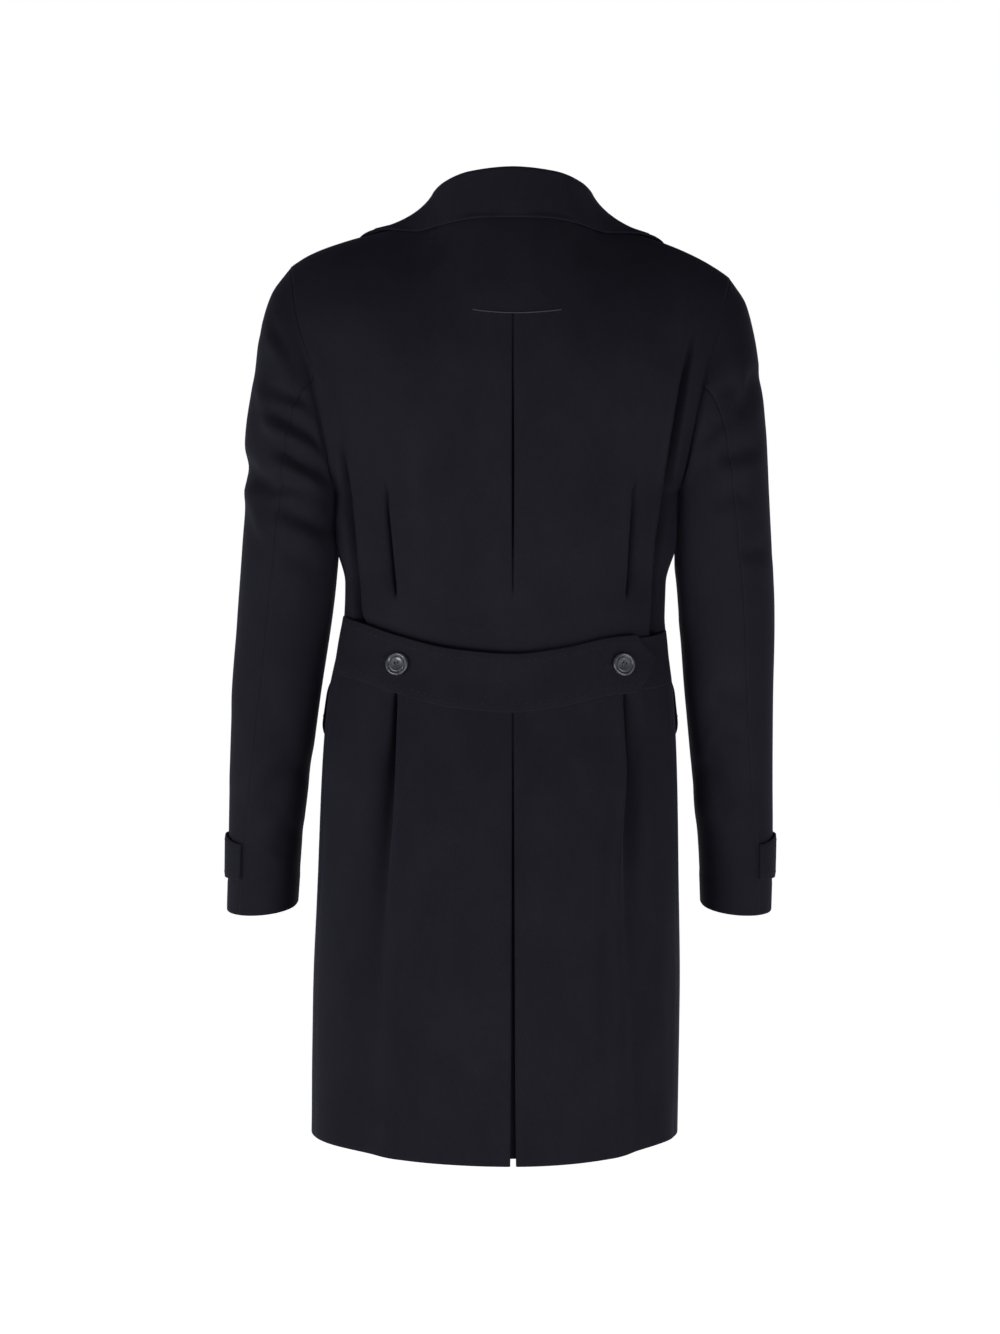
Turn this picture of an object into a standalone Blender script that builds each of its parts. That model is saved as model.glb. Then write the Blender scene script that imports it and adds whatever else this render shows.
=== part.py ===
"""A double-breasted wool overcoat with a half belt, hollow, as it hangs on a wearer.

Metres, +Z up. The wearer faces -Y, so +X is the wearer's left and +Y the back.
The origin lies on the centre line between the shoulders, just above the neck ends of the shoulder seams.
A distance is measured round the body from the centre back or centre front, positive to the wearer's left.
"""

import math
from collections import Counter

import bmesh
import bpy
import numpy as np
from mathutils import Vector
from mathutils.bvhtree import BVHTree

# Cloth
CLOTH = 0.0020  # thickness of the coating
DOUBLE_CLOTH = 0.0025  # thickness of the faced collar, belts, flaps and straps
SEAM_GAP = 0.0004  # between two pieces at a seam
BUTT_GAP = 0.0013  # between a front's edge and the lapel that rolls out of it
LAY_GAP = 0.0007  # between a piece and the piece that it lies on
LEFT, RIGHT = 1, -1

# Heights
HEM = -0.982
HEM_CENTRE_DROP = 0.0055  # the hem hangs lowest at the centre back
HEM_SIDE_RISE = 0.0085
UNDERARM = -0.300
BACK_NECK = -0.012
FRONT_NECK = -0.085
PLEAT_TOP = -0.123  # the bar at the top of the centre pleat
BREAK = -0.370  # where the lapels start to roll

# Shoulders, neck and armholes
SHOULDER_HALF = 0.232
SHOULDER_TIP = {LEFT: -0.061, RIGHT: -0.073}
SHOULDER_CROWN = 0.0075  # most rise of the shoulder seam over a straight line
NECK_HALF = 0.082
NECK_POINT = -0.009  # height of the neck end of the shoulder seams
NECK_BACK = 0.064
NECK_FRONT = 0.080
ARMHOLE_BACK = 0.062
ARMHOLE_FRONT = 0.058
SEAM_INSET = 0.0045  # the side seams lie this far inside the widest line of the body
SEAM_TURN = math.radians(14)
SEAM_CALM = (0.002, 0.022)  # folds fade out between these distances from a seam
HEM_BOW_TOP = -0.80  # the hem's curve starts to show here
CROWN_PEAK = 27 / 4  # makes the crown's curve reach its full height
ARM_CLEAR, UNDERARM_CLEAR = 0.0008, 0.0018  # from an armhole's edge to the sleeve's, above and below

# Fronts
OVERLAP = 0.085  # each front's edge lies this far past the centre front
FRONT_SPREAD = 0.0016  # half the distance between the two lapped fronts
ROLL_PAST_NECK = 0.006
LAPEL_ROLL = 0.0024
COLLAR_ROLL = 0.0034
LAPEL_GAP = 0.0018  # the lapels and the collar lie this far off the cloth under them
LAPEL_REST = CLOTH / 2 + DOUBLE_CLOTH / 2 + LAPEL_GAP
LAP_ENDS = (0.09, 0.17)  # the lapped fronts come together between these distances

# Centre pleat
PLEAT_FOLD = 0.0013  # radius of the folded edges
PLEAT_DEPTH = 0.043
BAR_CLEAR = 0.0006  # the folded edges start this far under the bar
UNDERLAY_SHORT = 0.007  # the underlay's hem lies this far above the coat's hem

# Pockets
POCKET_WIDTH = 0.140
POCKET_BACK_EDGE = 0.072  # from the side seam
POCKET_TOP, POCKET_BOTTOM = -0.522, -0.690
POCKET_CORNER = 0.030
FLAP_TOP, FLAP_BOTTOM = -0.490, -0.558
FLAP_CORNER = 0.018
FLAP_STAND_OFF = 0.0014  # the flaps' lower edges stand out this much more than the rest
FLAP_GROW = 0.004  # the flaps are this much wider than the pockets on each side
FLAP_OVER = (0.58, 1.00)  # by share of the height: over the pocket up to the first, on the front at the second
POCKET_OFF = CLOTH + LAY_GAP
FLAP_OFF = 2 * CLOTH + 2 * LAY_GAP + (DOUBLE_CLOTH - CLOTH) / 2
FLAP_SEAM_OFF = CLOTH / 2 + DOUBLE_CLOTH / 2 + LAY_GAP

# Buttons
BUTTON_RADIUS = 0.012
BUTTON_HEIGHT = 0.0042
BUTTON_SIDES = 12
BUTTON_PROFILE = [
    # radius, height
    (BUTTON_RADIUS - 0.0012, 0.0),
    (BUTTON_RADIUS, 0.0012),
    (BUTTON_RADIUS, 0.0030),
    (BUTTON_RADIUS - 0.0013, BUTTON_HEIGHT),
    (BUTTON_RADIUS - 0.0036, BUTTON_HEIGHT - 0.0014),
]
SEAT_GAP = 0.0003
SEAT_PROBES = 8  # places round a button's edge where its seat is felt
FRONT_BUTTON_COLUMN = 0.063
FRONT_BUTTON_ROWS = (-0.405, -0.525, -0.645)
BELT_BUTTONS = {LEFT: 0.118, RIGHT: -0.112}
CUFF_BUTTON_ANGLE = math.radians(-52)

ROW_POINTS = 49
PROBE = 0.0015  # step used to feel the slope of the cloth
REACH = 0.02  # a feeler starts this far outside the cloth
CLOTH_ANGLE, HORN_ANGLE = math.radians(50), math.radians(35)  # sharper edges than these are shaded sharp


def smooth(keys, values, at):
    """A curve through the values that never swings past them."""
    keys, values = np.asarray(keys, float), np.asarray(values, float)
    steps = np.diff(keys)
    slopes = np.diff(values) / steps
    turns = np.zeros_like(values)
    turns[0], turns[-1] = slopes[0], slopes[-1]
    one_way = slopes[:-1] * slopes[1:] > 0
    before, after = 2 * steps[1:] + steps[:-1], steps[1:] + 2 * steps[:-1]
    first, second = np.where(one_way, slopes[:-1], 1.0), np.where(one_way, slopes[1:], 1.0)
    turns[1:-1] = np.where(one_way, (before + after) / (before / first + after / second), 0.0)
    at = np.asarray(at, float)
    i = np.clip(np.searchsorted(keys, at) - 1, 0, len(steps) - 1)
    t = np.clip((at - keys[i]) / steps[i], 0.0, 1.0)
    rise = t * t * (3 - 2 * t)
    swing = t * (1 - t) ** 2 * turns[i] - t * t * (1 - t) * turns[i + 1]
    return values[i] * (1 - rise) + values[i + 1] * rise + swing * steps[i]


def ease(start, end, at):
    """0 before start, 1 after end, and a soft step between."""
    t = np.clip((np.asarray(at, float) - start) / (end - start), 0.0, 1.0)
    return t * t * (3 - 2 * t)


class Table:
    """A short table with named columns. A column is read smoothly against the first one."""

    def __init__(self, names, rows):
        self.names = names.split()
        self.rows = np.array(rows, float)

    def at(self, name, key):
        return smooth(self.rows[:, 0], self.rows[:, self.names.index(name)], key)


BODY = Table(
    "height half seam_back",
    [
        (-0.982, 0.1912, 0.050),
        (-0.830, 0.1915, 0.050),
        (-0.700, 0.1885, 0.050),
        (-0.600, 0.1860, 0.048),
        (-0.520, 0.1815, 0.045),
        (-0.460, 0.1725, 0.040),
        (-0.430, 0.1685, 0.037),
        (-0.395, 0.1695, 0.034),
        (-0.350, 0.1825, 0.028),
        (-0.300, 0.1855, 0.020),
    ],
)
CENTRE_BACK = Table(
    "height out",
    [
        (-0.982, 0.150),
        (-0.830, 0.144),
        (-0.700, 0.136),
        (-0.600, 0.124),
        (-0.520, 0.108),
        (-0.455, 0.101),
        (-0.400, 0.106),
        (-0.300, 0.118),
        (-0.200, 0.119),
        (-0.120, 0.110),
        (-0.060, 0.091),
        (-0.030, 0.076),
        (BACK_NECK, NECK_BACK),
    ],
)
CENTRE_FRONT = Table(
    "height out",
    [
        (-0.982, 0.168),
        (-0.700, 0.160),
        (-0.520, 0.154),
        (-0.400, 0.150),
        (-0.300, 0.152),
        (-0.220, 0.142),
        (-0.150, 0.118),
        (-0.110, 0.096),
        (FRONT_NECK, NECK_FRONT),
    ],
)
# The coat hangs a little towards the wearer's left
LEAN = Table(
    "height shift",
    [
        (-0.982, 0.0190),
        (-0.700, 0.0150),
        (-0.520, 0.0125),
        (-0.400, 0.0075),
        (-0.300, 0.0060),
        (-0.130, 0.0050),
        (-0.060, 0.0020),
        (0.060, 0.0000),
    ],
)
# The armhole seam leans in from the shoulder to the underarm: share of its height, share of its reach
ARMHOLE = Table("up out", [(0.0, 0.0), (0.25, 0.18), (0.5, 0.40), (0.75, 0.76), (1.0, 1.0)])
# The gap between the folded edges of the centre pleat
PLEAT_GAP = Table(
    "height gap",
    [
        (-0.982, 0.0070),
        (-0.900, 0.0050),
        (-0.750, 0.0035),
        (-0.600, 0.0015),
        (-0.530, 0.0005),
        (-0.420, 0.0005),
        (-0.300, 0.0025),
        (-0.200, 0.0015),
        (PLEAT_TOP, 0.0004),
    ],
)
# The pleats beside the centre panel of the back: where their folds run, and the hollow beside each fold
SIDE_PLEAT = Table(
    "height left right depth reach",
    [
        (-0.982, 0.126, 0.112, 0.0040, 0.060),
        (-0.800, 0.124, 0.106, 0.0060, 0.060),
        (-0.650, 0.122, 0.110, 0.0090, 0.055),
        (-0.560, 0.120, 0.116, 0.0100, 0.032),
        (-0.525, 0.119, 0.115, 0.0050, 0.022),
        (-0.450, 0.120, 0.117, 0.0040, 0.022),
        (-0.405, 0.121, 0.119, 0.0090, 0.030),
        (-0.330, 0.129, 0.125, 0.0040, 0.045),
        (-0.280, 0.132, 0.127, 0.0000, 0.050),
        (-0.008, 0.140, 0.140, 0.0000, 0.050),
    ],
)
PLEAT_STEP = 0.004  # width of the drop from a side pleat's fold into its hollow
# The long drapes from each armhole to the belt: distances from the centre back at the top and foot
BACK_DRAPES = [
    # side, top distance, top height, foot distance, foot height, depth, width
    (LEFT, 0.186, -0.255, 0.170, -0.432, 0.0065, 0.013),
    (RIGHT, 0.188, -0.120, 0.158, -0.430, 0.0085, 0.013),
]
SLEEVE = Table(
    "run outer_x outer_z inner_x inner_z back front lean",
    [
        (0.00, 0.2320, -0.061, 0.1805, -0.300, 0.072, -0.048, 0.0000),
        (0.05, 0.2505, -0.090, 0.1865, -0.304, 0.076, -0.056, 0.0000),
        (0.11, 0.2602, -0.132, 0.1880, -0.310, 0.078, -0.062, 0.0000),
        (0.18, 0.2665, -0.186, 0.1862, -0.318, 0.078, -0.066, 0.0000),
        (0.26, 0.2725, -0.240, 0.1825, -0.330, 0.077, -0.070, 0.0000),
        (0.34, 0.2750, -0.295, 0.1800, -0.346, 0.074, -0.073, -0.0005),
        (0.43, 0.2785, -0.358, 0.1812, -0.374, 0.070, -0.076, -0.0008),
        (0.52, 0.2825, -0.418, 0.1845, -0.420, 0.064, -0.079, -0.0012),
        (0.61, 0.2850, -0.480, 0.1912, -0.480, 0.055, -0.081, -0.0020),
        (0.70, 0.2868, -0.543, 0.1990, -0.543, 0.045, -0.083, -0.0022),
        (0.80, 0.2887, -0.610, 0.2070, -0.608, 0.033, -0.088, -0.0020),
        (0.90, 0.2902, -0.676, 0.2140, -0.673, 0.021, -0.093, -0.0020),
        (1.00, 0.2905, -0.742, 0.2180, -0.737, 0.010, -0.098, -0.0015),
    ],
)
# The sleeves press flat against the sides of the body: the nearest that they come to the middle
SLEEVE_PRESS = Table(
    "height nearest",
    [
        (-0.430, 0.1745),
        (-0.400, 0.1746),
        (-0.380, 0.1772),
        (-0.360, 0.1818),
        (-0.340, 0.1842),
        (-0.300, 0.1855),
    ],
)
CUFF_TILT = 0.007  # the cuffs hang lower at the back
SLEEVE_SET = 0.16  # share of a sleeve that settles from the armhole into its own line
SLEEVE_GIRTH = 0.060  # mean radius of a sleeve, to measure folds round it
CUFF_GIRTH = 0.045
# Where the two seams of a sleeve run round it, in degrees from its outer side
SLEEVE_SEAMS = Table("run hind fore", [(0.0, 92, -112), (0.45, 76, -114), (0.75, 70, -116), (1.0, 54, -118)])
# The largest folds of the sleeves: both ends by height and angle round the sleeve
SLEEVE_FOLDS = [
    # side, height, degrees, height, degrees, depth, width
    (LEFT, -0.200, 4, -0.272, 4, -0.0030, 0.030),
    (LEFT, -0.150, 45, -0.195, 105, 0.0050, 0.012),
    (LEFT, -0.215, 62, -0.245, 125, 0.0050, 0.011),
    (LEFT, -0.262, 75, -0.290, 130, 0.0050, 0.011),
    (LEFT, -0.272, 5, -0.300, 80, 0.0055, 0.012),
    (LEFT, -0.325, 70, -0.352, 135, 0.0045, 0.012),
    (LEFT, -0.575, 130, -0.630, 65, 0.0050, 0.014),
    (RIGHT, -0.190, 125, -0.192, 75, 0.0050, 0.012),
    (RIGHT, -0.165, 15, -0.225, 60, 0.0050, 0.012),
    (RIGHT, -0.245, 25, -0.265, 85, 0.0045, 0.012),
    (RIGHT, -0.505, 110, -0.512, 60, 0.0040, 0.012),
    (RIGHT, -0.600, 130, -0.640, 80, 0.0045, 0.014),
]
# The outer edge of a lapel: by height, distance from the centre front
LAPEL_EDGE = [(-0.366, -0.078), (-0.300, 0.052), (-0.225, 0.172), (-0.1925, 0.128), (-0.162, 0.1060)]
# Rows of a lapel below its tip, by height
LAPEL_ROWS = (-0.345, -0.322, UNDERARM, -0.275, -0.250)
# Both ends of a lapel's lowest edge by height, at the roll and at the outer edge: the right lapel ends
# where the left front laps over it
LAPEL_START = {LEFT: (-0.366, -0.366), RIGHT: (-0.260, -0.306)}
# The half belt's middle line and how far it stands off the back
BELT = Table(
    "distance height off",
    [
        (-0.240, -0.455, 0.0068),
        (-0.150, -0.479, 0.0068),
        (-0.100, -0.484, 0.0066),
        (-0.050, -0.495, 0.0052),
        (0.000, -0.501, 0.0042),
        (0.060, -0.496, 0.0036),
        (0.118, -0.482, 0.0034),
        (0.160, -0.469, 0.0034),
        (0.240, -0.452, 0.0034),
    ],
)
BELT_HALF_WIDTH = 0.030
BELT_SEAM_HEIGHT = -0.455  # where the belt's ends are caught in the side seams
BELT_SEAM_GAP = 0.001
BELT_GAPE = 0.0030  # the belt's top edge stands off this much more at the middle
BELT_TIP = -0.150
BELT_TIP_TAPER = 0.026
BELT_TIP_WIDTH = 0.24  # share of the belt's width left at its blunt end
UNDER_BELT_END = -0.092
UNDER_BELT_OFF = 0.0032
# The cuff straps: the ends by angle, the edges by height
STRAP_END = math.radians(-72)
STRAP_TOP, STRAP_TOP_AT_SEAM, STRAP_BOTTOM = -0.661, -0.670, -0.708
STRAP_POINT = math.radians(20)  # the last stretch, which narrows to the point
STRAP_NARROW = 0.75  # share of the width lost at the point
# The collar's stations round the back neck: share of the way to the neck point, roll, edge distance and
# height, and how far the fall hollows in. An edge past the neck point has no distance of its own.
COLLAR_BACK = [
    (0.00, (0.000, 0.055, 0.0345), 0.000, -0.0212, -0.0050),
    (0.40, (0.042, 0.048, 0.0310), 0.062, -0.0260, -0.0040),
    (0.78, (0.069, 0.026, 0.0220), 0.122, -0.0350, 0.0030),
    (1.00, (0.079, 0.000, 0.0140), None, BACK_NECK, 0.0085),
]
# Its stations along the fronts: stand below the roll, height of the crest over the front, height of the roll,
# then distance and height of the handle and of the edge
COLLAR_FRONT = [
    (0.022, 0.0090, -0.100, None, -0.0980, None, -0.1000),
    (0.013, 0.0055, -0.122, 0.154, -0.1280, 0.190, -0.1350),
    (0.005, 0.0030, -0.150, 0.126, -0.2000, 0.172, -0.1760),
]
COLLAR_PAST_NECK = {"back": 0.064, "handle": 0.030, "edge": 0.068}  # distances past the neck point
COLLAR_LIFT = np.array([0.0, 0.0, 0.0040])  # the stand starts this far above the neck seam
COLLAR_INSIDE = 0.007  # the roll of the collar lies this far inside the roll line of the lapel
COLLAR_SECTIONS = 43
COLLAR_TOP = -0.330  # the collar can only touch the body above this height


def shift(height):
    return LEAN.at("shift", height)


def top_of(face):
    """Height of the middle of a face's top edge."""
    return BACK_NECK if face == "back" else FRONT_NECK


def curve(a, b, c, d, count=ROW_POINTS):
    """Points along a cubic curve from a to d, with b and c as its handles."""
    t = np.linspace(0, 1, count)[:, None]
    a, b, c, d = (np.asarray(p, float) for p in (a, b, c, d))
    return a * (1 - t) ** 3 + 3 * b * t * (1 - t) ** 2 + 3 * c * t * t * (1 - t) + d * t**3


def lengths(line):
    """How far along a line each of its points lies."""
    return np.concatenate([[0.0], np.cumsum(np.linalg.norm(np.diff(line, axis=0), axis=1))])


def read(line, along, at):
    """Points of a line at the given lengths along it."""
    return np.stack([np.interp(at, along, line[:, k]) for k in range(3)], axis=-1)


def spaced(line, count=ROW_POINTS):
    along = lengths(line)
    return read(line, along, np.linspace(0, along[-1], count))


def unit(vectors):
    return vectors / np.linalg.norm(vectors, axis=-1, keepdims=True)


def blend(a, b, share):
    return a * (1 - share) + b * share


def seam_half(height):
    """Half the body's width at the side seams."""
    return BODY.at("half", height) - SEAM_INSET


def armhole(side, angle):
    """The armhole seam: angle 0 at the shoulder, a quarter turn at the back, a half turn under the arm."""
    angle = np.asarray(angle, float)
    up = (1 + np.cos(angle)) / 2
    x = blend(seam_half(UNDERARM), SHOULDER_HALF, ARMHOLE.at("out", up))
    z = blend(UNDERARM, SHOULDER_TIP[side], up)
    reach = np.where(np.sin(angle) > 0, ARMHOLE_BACK, ARMHOLE_FRONT)
    y = BODY.at("seam_back", UNDERARM) * (1 - up) + reach * np.sin(angle)
    return np.stack([side * x + shift(z), y, z], axis=-1)


def shoulder_way(side):
    """Direction of the shoulder seam, from the neck to the shoulder tip."""
    return unit(armhole(side, 0.0) - np.array([side * NECK_HALF, 0.0, NECK_POINT]))


def top_line(face, side):
    """The top edge of one half: round the neck to the neck point, then along the shoulder seam."""
    out = NECK_BACK if face == "back" else -NECK_FRONT
    low = top_of(face)
    neck_point = np.array([side * NECK_HALF, 0.0, NECK_POINT])
    start, lead = (0.0, out, low), (side * NECK_HALF * 0.6, out, low)
    arrive = (side * NECK_HALF, out * 0.56, blend(NECK_POINT, low, 0.3))
    neck = curve(start, lead, arrive, neck_point)
    share = np.linspace(0, 1, ROW_POINTS)[1:, None]
    seam = blend(neck_point, armhole(side, 0.0), share)
    seam[:, 2:] += CROWN_PEAK * SHOULDER_CROWN * share**2 * (1 - share)
    line = np.concatenate([neck, seam])
    return line + np.array([0.0, SEAM_GAP / 2 if face == "back" else -SEAM_GAP / 2, 0.0])


def neck_distance(face, side):
    """How far round the neck the neck point lies from the centre."""
    return lengths(top_line(face, side)[:ROW_POINTS])[-1]


def climb(face, height):
    """0 up to the underarm, 1 at the shoulder seam."""
    return float(np.clip((height - UNDERARM) / (top_of(face) - UNDERARM), 0.0, 1.0))


def plain_row(face, side, height):
    """A fair line from the centre to the side seam or armhole at one height."""
    up = climb(face, height)
    back = face == "back"
    out = CENTRE_BACK.at("out", height) if back else -CENTRE_FRONT.at("out", height)
    bow = ease(HEM_BOW_TOP, HEM, height)
    level = height - HEM_CENTRE_DROP * bow if back else height
    centre = np.array([0.0 if back else float(shift(height)) * (1 - up), float(out), level])
    if up > 0:
        edge = armhole(side, math.pi * (1 - up) * (1 if back else -1))
    else:
        x, level = side * seam_half(height) + shift(height), height + HEM_SIDE_RISE * bow
        edge = np.array([x, BODY.at("seam_back", height), level])
    turn = blend(SEAM_TURN * 0.55, SEAM_TURN, ease(UNDERARM, -0.45, height))
    round_side = np.array([side * math.sin(turn), -math.cos(turn), 0.0]) * (1 if back else -1)
    arrive = unit(blend(round_side, shoulder_way(side), up**0.8))
    depth = abs(edge[1] - centre[1])
    reach = blend(0.60 * depth, 0.33 * np.linalg.norm(edge - centre), up)
    lead = centre + np.array([(edge[0] - centre[0]) * blend(0.60, 0.36, up), 0.0, 0.0])
    return spaced(curve(centre, lead, edge - arrive * reach, edge))


def half_row(face, side, height):
    """The line of the cloth at one height: the fair line, bent to the neck and shoulder seam near the top."""
    bend = spaced(top_line(face, side)) - plain_row(face, side, top_of(face))
    return plain_row(face, side, height) + bend * ease(0.45, 1.0, climb(face, height))


ROWS = {}


def full_row(face, height):
    """The whole line of the cloth at one height, right to left, and its points' distances from the centre."""
    key = (face, round(float(height), 6))
    if key not in ROWS:
        right, left = half_row(face, RIGHT, key[1]), half_row(face, LEFT, key[1])
        line = np.concatenate([right[::-1], left[1:]])
        along = lengths(line)
        ROWS[key] = along - along[ROW_POINTS - 1], line
    return ROWS[key]


def row_end(face, side, height):
    """Distance of the side seam or armhole from the centre, positive on both sides."""
    return abs(full_row(face, height)[0][-1 if side == LEFT else 0])


def cloth(face, distance, height):
    """Points of the bare cloth at one height."""
    along, line = full_row(face, height)
    return read(line, along, np.asarray(distance, float))


def outward(face, distance, height):
    """Directions straight out of the cloth at one height."""
    distance = np.asarray(distance, float)
    across = cloth(face, distance + PROBE, height) - cloth(face, distance - PROBE, height)
    ends = []
    for level in (max(height - PROBE, HEM), min(height + PROBE, top_of(face))):
        share = [row_end(face, s, level) / row_end(face, s, height) for s in (LEFT, RIGHT)]
        ends.append(cloth(face, distance * np.where(distance > 0, share[0], share[1]), level))
    way = unit(np.cross(ends[1] - ends[0], across) * (1 if face == "back" else -1))
    if climb(face, height) < 1:
        return way
    for side in (LEFT, RIGHT):
        along_seam = shoulder_way(side)
        square = side * np.array([-along_seam[2], 0.0, along_seam[0]])
        on_seam = distance * side > neck_distance(face, side) - PROBE
        way = np.where(on_seam[..., None], square, way)
    return way


def laid_on(face, distance, height, off):
    """Points moved straight out of the cloth, and the directions out of it, at one height."""
    way = outward(face, distance, height)
    return cloth(face, distance, height) + way * np.asarray(off, float)[..., None], way


def on_face(face, distances, heights, off):
    """The same for single places, each with its own height."""
    made = [laid_on(face, np.array([d]), h, np.array([o])) for d, h, o in zip(distances, heights, off)]
    return np.concatenate([p for p, _ in made]), np.concatenate([w for _, w in made])


def segment_hollow(u, v, start, end, depth, width):
    """A soft trough along a line from start to end, fading at both ends."""
    run = np.array(end) - np.array(start)
    length = np.linalg.norm(run)
    along = ((u - start[0]) * run[0] + (v - start[1]) * run[1]) / length**2
    beside = ((u - start[0]) * run[1] - (v - start[1]) * run[0]) / length
    fade = ease(-0.15, 0.25, along) * (1 - ease(0.75, 1.15, along))
    return -depth * np.exp(-((beside / width) ** 2)) * fade


def back_relief(distance, height):
    """How far the back stands out of its bare line: side pleats and drapes."""
    distance = np.asarray(distance, float)
    relief = np.zeros_like(distance)
    for side, name in ((LEFT, "left"), (RIGHT, "right")):
        past = distance * side - SIDE_PLEAT.at(name, height)
        reach = SIDE_PLEAT.at("reach", height)
        hollow = ease(0.0, PLEAT_STEP, past) * (1 - ease(PLEAT_STEP, reach, past))
        relief -= SIDE_PLEAT.at("depth", height) * hollow
    for side, top, top_height, foot, foot_height, depth, width in BACK_DRAPES:
        level = np.full_like(distance, height)
        relief += segment_hollow(distance * side, level, (foot, foot_height), (top, top_height), depth, width)
    ends = [row_end("back", side, height) for side in (LEFT, RIGHT)]
    return relief * ease(*SEAM_CALM, np.where(distance > 0, *ends) - abs(distance))


def make_material(name, colour, roughness):
    material = bpy.data.materials.new(name)
    material.use_nodes = True
    shader = material.node_tree.nodes["Principled BSDF"]
    shader.inputs["Base Color"].default_value = (*colour, 1.0)
    shader.inputs["Roughness"].default_value = roughness
    shader.inputs["Metallic"].default_value = 0.0
    return material


def add_object(name, bm, material, smooth_angle=CLOTH_ANGLE):
    mesh = bpy.data.meshes.new(name)
    bm.to_mesh(mesh)
    bm.free()
    mesh.shade_smooth()
    mesh.set_sharp_from_angle(angle=smooth_angle)
    mesh.materials.append(material)
    made = bpy.data.objects.new(name, mesh)
    bpy.context.scene.collection.objects.link(made)
    made.parent = COAT
    return made


def wall(name, points, ways, faces, thickness):
    """Closes a sheet into a wall: two skins, half the thickness each way, joined round every free edge."""
    points, ways = np.asarray(points, float), np.asarray(ways, float)
    count = len(points)
    corners = np.concatenate([points + ways * thickness / 2, points - ways * thickness / 2])
    edges = Counter()
    for face in faces:
        edges.update((face[i], face[(i + 1) % len(face)]) for i in range(len(face)))
    bm = bmesh.new()
    verts = [bm.verts.new(p) for p in corners]
    for face in faces:
        bm.faces.new([verts[i] for i in face])
        bm.faces.new([verts[i + count] for i in reversed(face)])
    for a, b in list(edges):
        if (b, a) not in edges:
            bm.faces.new([verts[b], verts[a], verts[a + count], verts[b + count]])
    bmesh.ops.recalc_face_normals(bm, faces=bm.faces[:])
    return add_object(name, bm, WOOL)


def grid_faces(number):
    """Quads between the neighbours of a table of point numbers."""
    return [
        (int(a), int(b), int(c), int(d))
        for row, above in zip(number[:-1], number[1:])
        for a, b, c, d in zip(row[:-1], row[1:], above[1:], above[:-1])
    ]


def grid_wall(name, points, ways, thickness):
    """A wall from rows of points with as many points in each row."""
    number = np.arange(points.shape[0] * points.shape[1]).reshape(points.shape[:2])
    return wall(name, points.reshape(-1, 3), ways.reshape(-1, 3), grid_faces(number), thickness)


def rows_wall(name, rows, thickness):
    """A wall from a list of (points, ways) rows."""
    return grid_wall(name, np.array([p for p, _ in rows]), np.array([w for _, w in rows]), thickness)


def upper_heights(face, shares):
    return [UNDERARM + (top_of(face) - UNDERARM) * share for share in shares]


SKIRT_ROWS = (-0.982, -0.930, -0.865, -0.800, -0.735, -0.675, -0.620, -0.575, -0.540)
GORGE_ROWS = (-0.146, -0.130, -0.115, -0.100, FRONT_NECK)
WAIST_ROWS = (-0.515, -0.490, -0.465, -0.440, -0.415)
SIDE_ROWS = (-0.380, -0.340, -0.300)
BLADE_ROWS = (-0.255, -0.205, -0.160)
CHEST_ROWS = (-0.345, -0.320, UNDERARM, -0.280)
HOLLOW_COLUMNS = (PLEAT_STEP, 0.018, 0.040)  # columns beside the fold of a side pleat


def back_columns(side, height):
    """Distances of the back's columns on one side, from the fold of the centre pleat to the side edge."""
    pleat = float(SIDE_PLEAT.at("left" if side == LEFT else "right", height))
    fold = CLOTH / 2 + PLEAT_FOLD + float(PLEAT_GAP.at("gap", height)) / 2
    end = row_end("back", side, height) - SEAM_GAP / 2
    hollow = [pleat + beside for beside in HOLLOW_COLUMNS]
    inner = [fold, PLEAT_DEPTH / 2, *np.linspace(PLEAT_DEPTH, pleat, 4)]
    outer = np.linspace(hollow[-1], end, 5)[1:]
    return np.concatenate([inner, hollow, outer]) * side


def make_back():
    """The back: whole above the bar, parted below it, with each parted edge folded in beside the centre."""
    bar_share = (PLEAT_TOP - UNDERARM) / (BACK_NECK - UNDERARM)
    above = upper_heights("back", (0.10, 0.22, 0.35, 0.48, bar_share, 0.69, 0.77, 0.84, 0.90, 0.95, 1.0))
    heights = [*SKIRT_ROWS, *WAIST_ROWS, *SIDE_ROWS, *above]
    bar = heights.index(above[4])
    points, ways, main, folded, middle = [], [], {}, {}, []

    def add(new_points, new_ways):
        first = sum(len(p) for p in points)
        points.append(new_points)
        ways.append(new_ways)
        return list(range(first, first + len(new_points)))

    for side in (LEFT, RIGHT):
        main[side], folded[side] = [], []
        for row, height in enumerate(heights):
            distance = back_columns(side, height)
            main[side].append(add(*laid_on("back", distance, height, back_relief(distance, height))))
            if row > bar:
                continue
            # the folded edge starts a hair under the bar, clear of the whole cloth above
            level = height - (BAR_CLEAR if row == bar else 0.0)
            fold = distance[:1]
            point, way = laid_on("back", fold, level, np.zeros(1))
            aside = unit(cloth("back", fold + side * PROBE, level) - point)
            inside = np.array([abs(fold[0]), PLEAT_DEPTH / 2, PLEAT_DEPTH]) * side
            flange, flange_way = laid_on("back", inside, level, np.full(3, -2 * PLEAT_FOLD))
            edge = point - (aside + way) * PLEAT_FOLD
            folded[side].append(add(np.concatenate([edge, flange]), np.concatenate([-aside, -flange_way])))
    for height in heights[bar:]:
        middle.append(add(*laid_on("back", np.zeros(1), height, np.zeros(1))))
    faces = []
    for side in (LEFT, RIGHT):
        turn = 1 if side == LEFT else -1
        fold_rows = [[m[0], *f] for m, f in zip(main[side], folded[side])]
        strip = [[c[0], m[0]] for c, m in zip(middle, main[side][bar:])]
        for number, way in ((main[side], turn), (fold_rows, -turn), (strip, turn)):
            faces += [face[::way] for face in grid_faces(number)]
    return wall("back", np.concatenate(points), np.concatenate(ways), faces, CLOTH)


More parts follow.
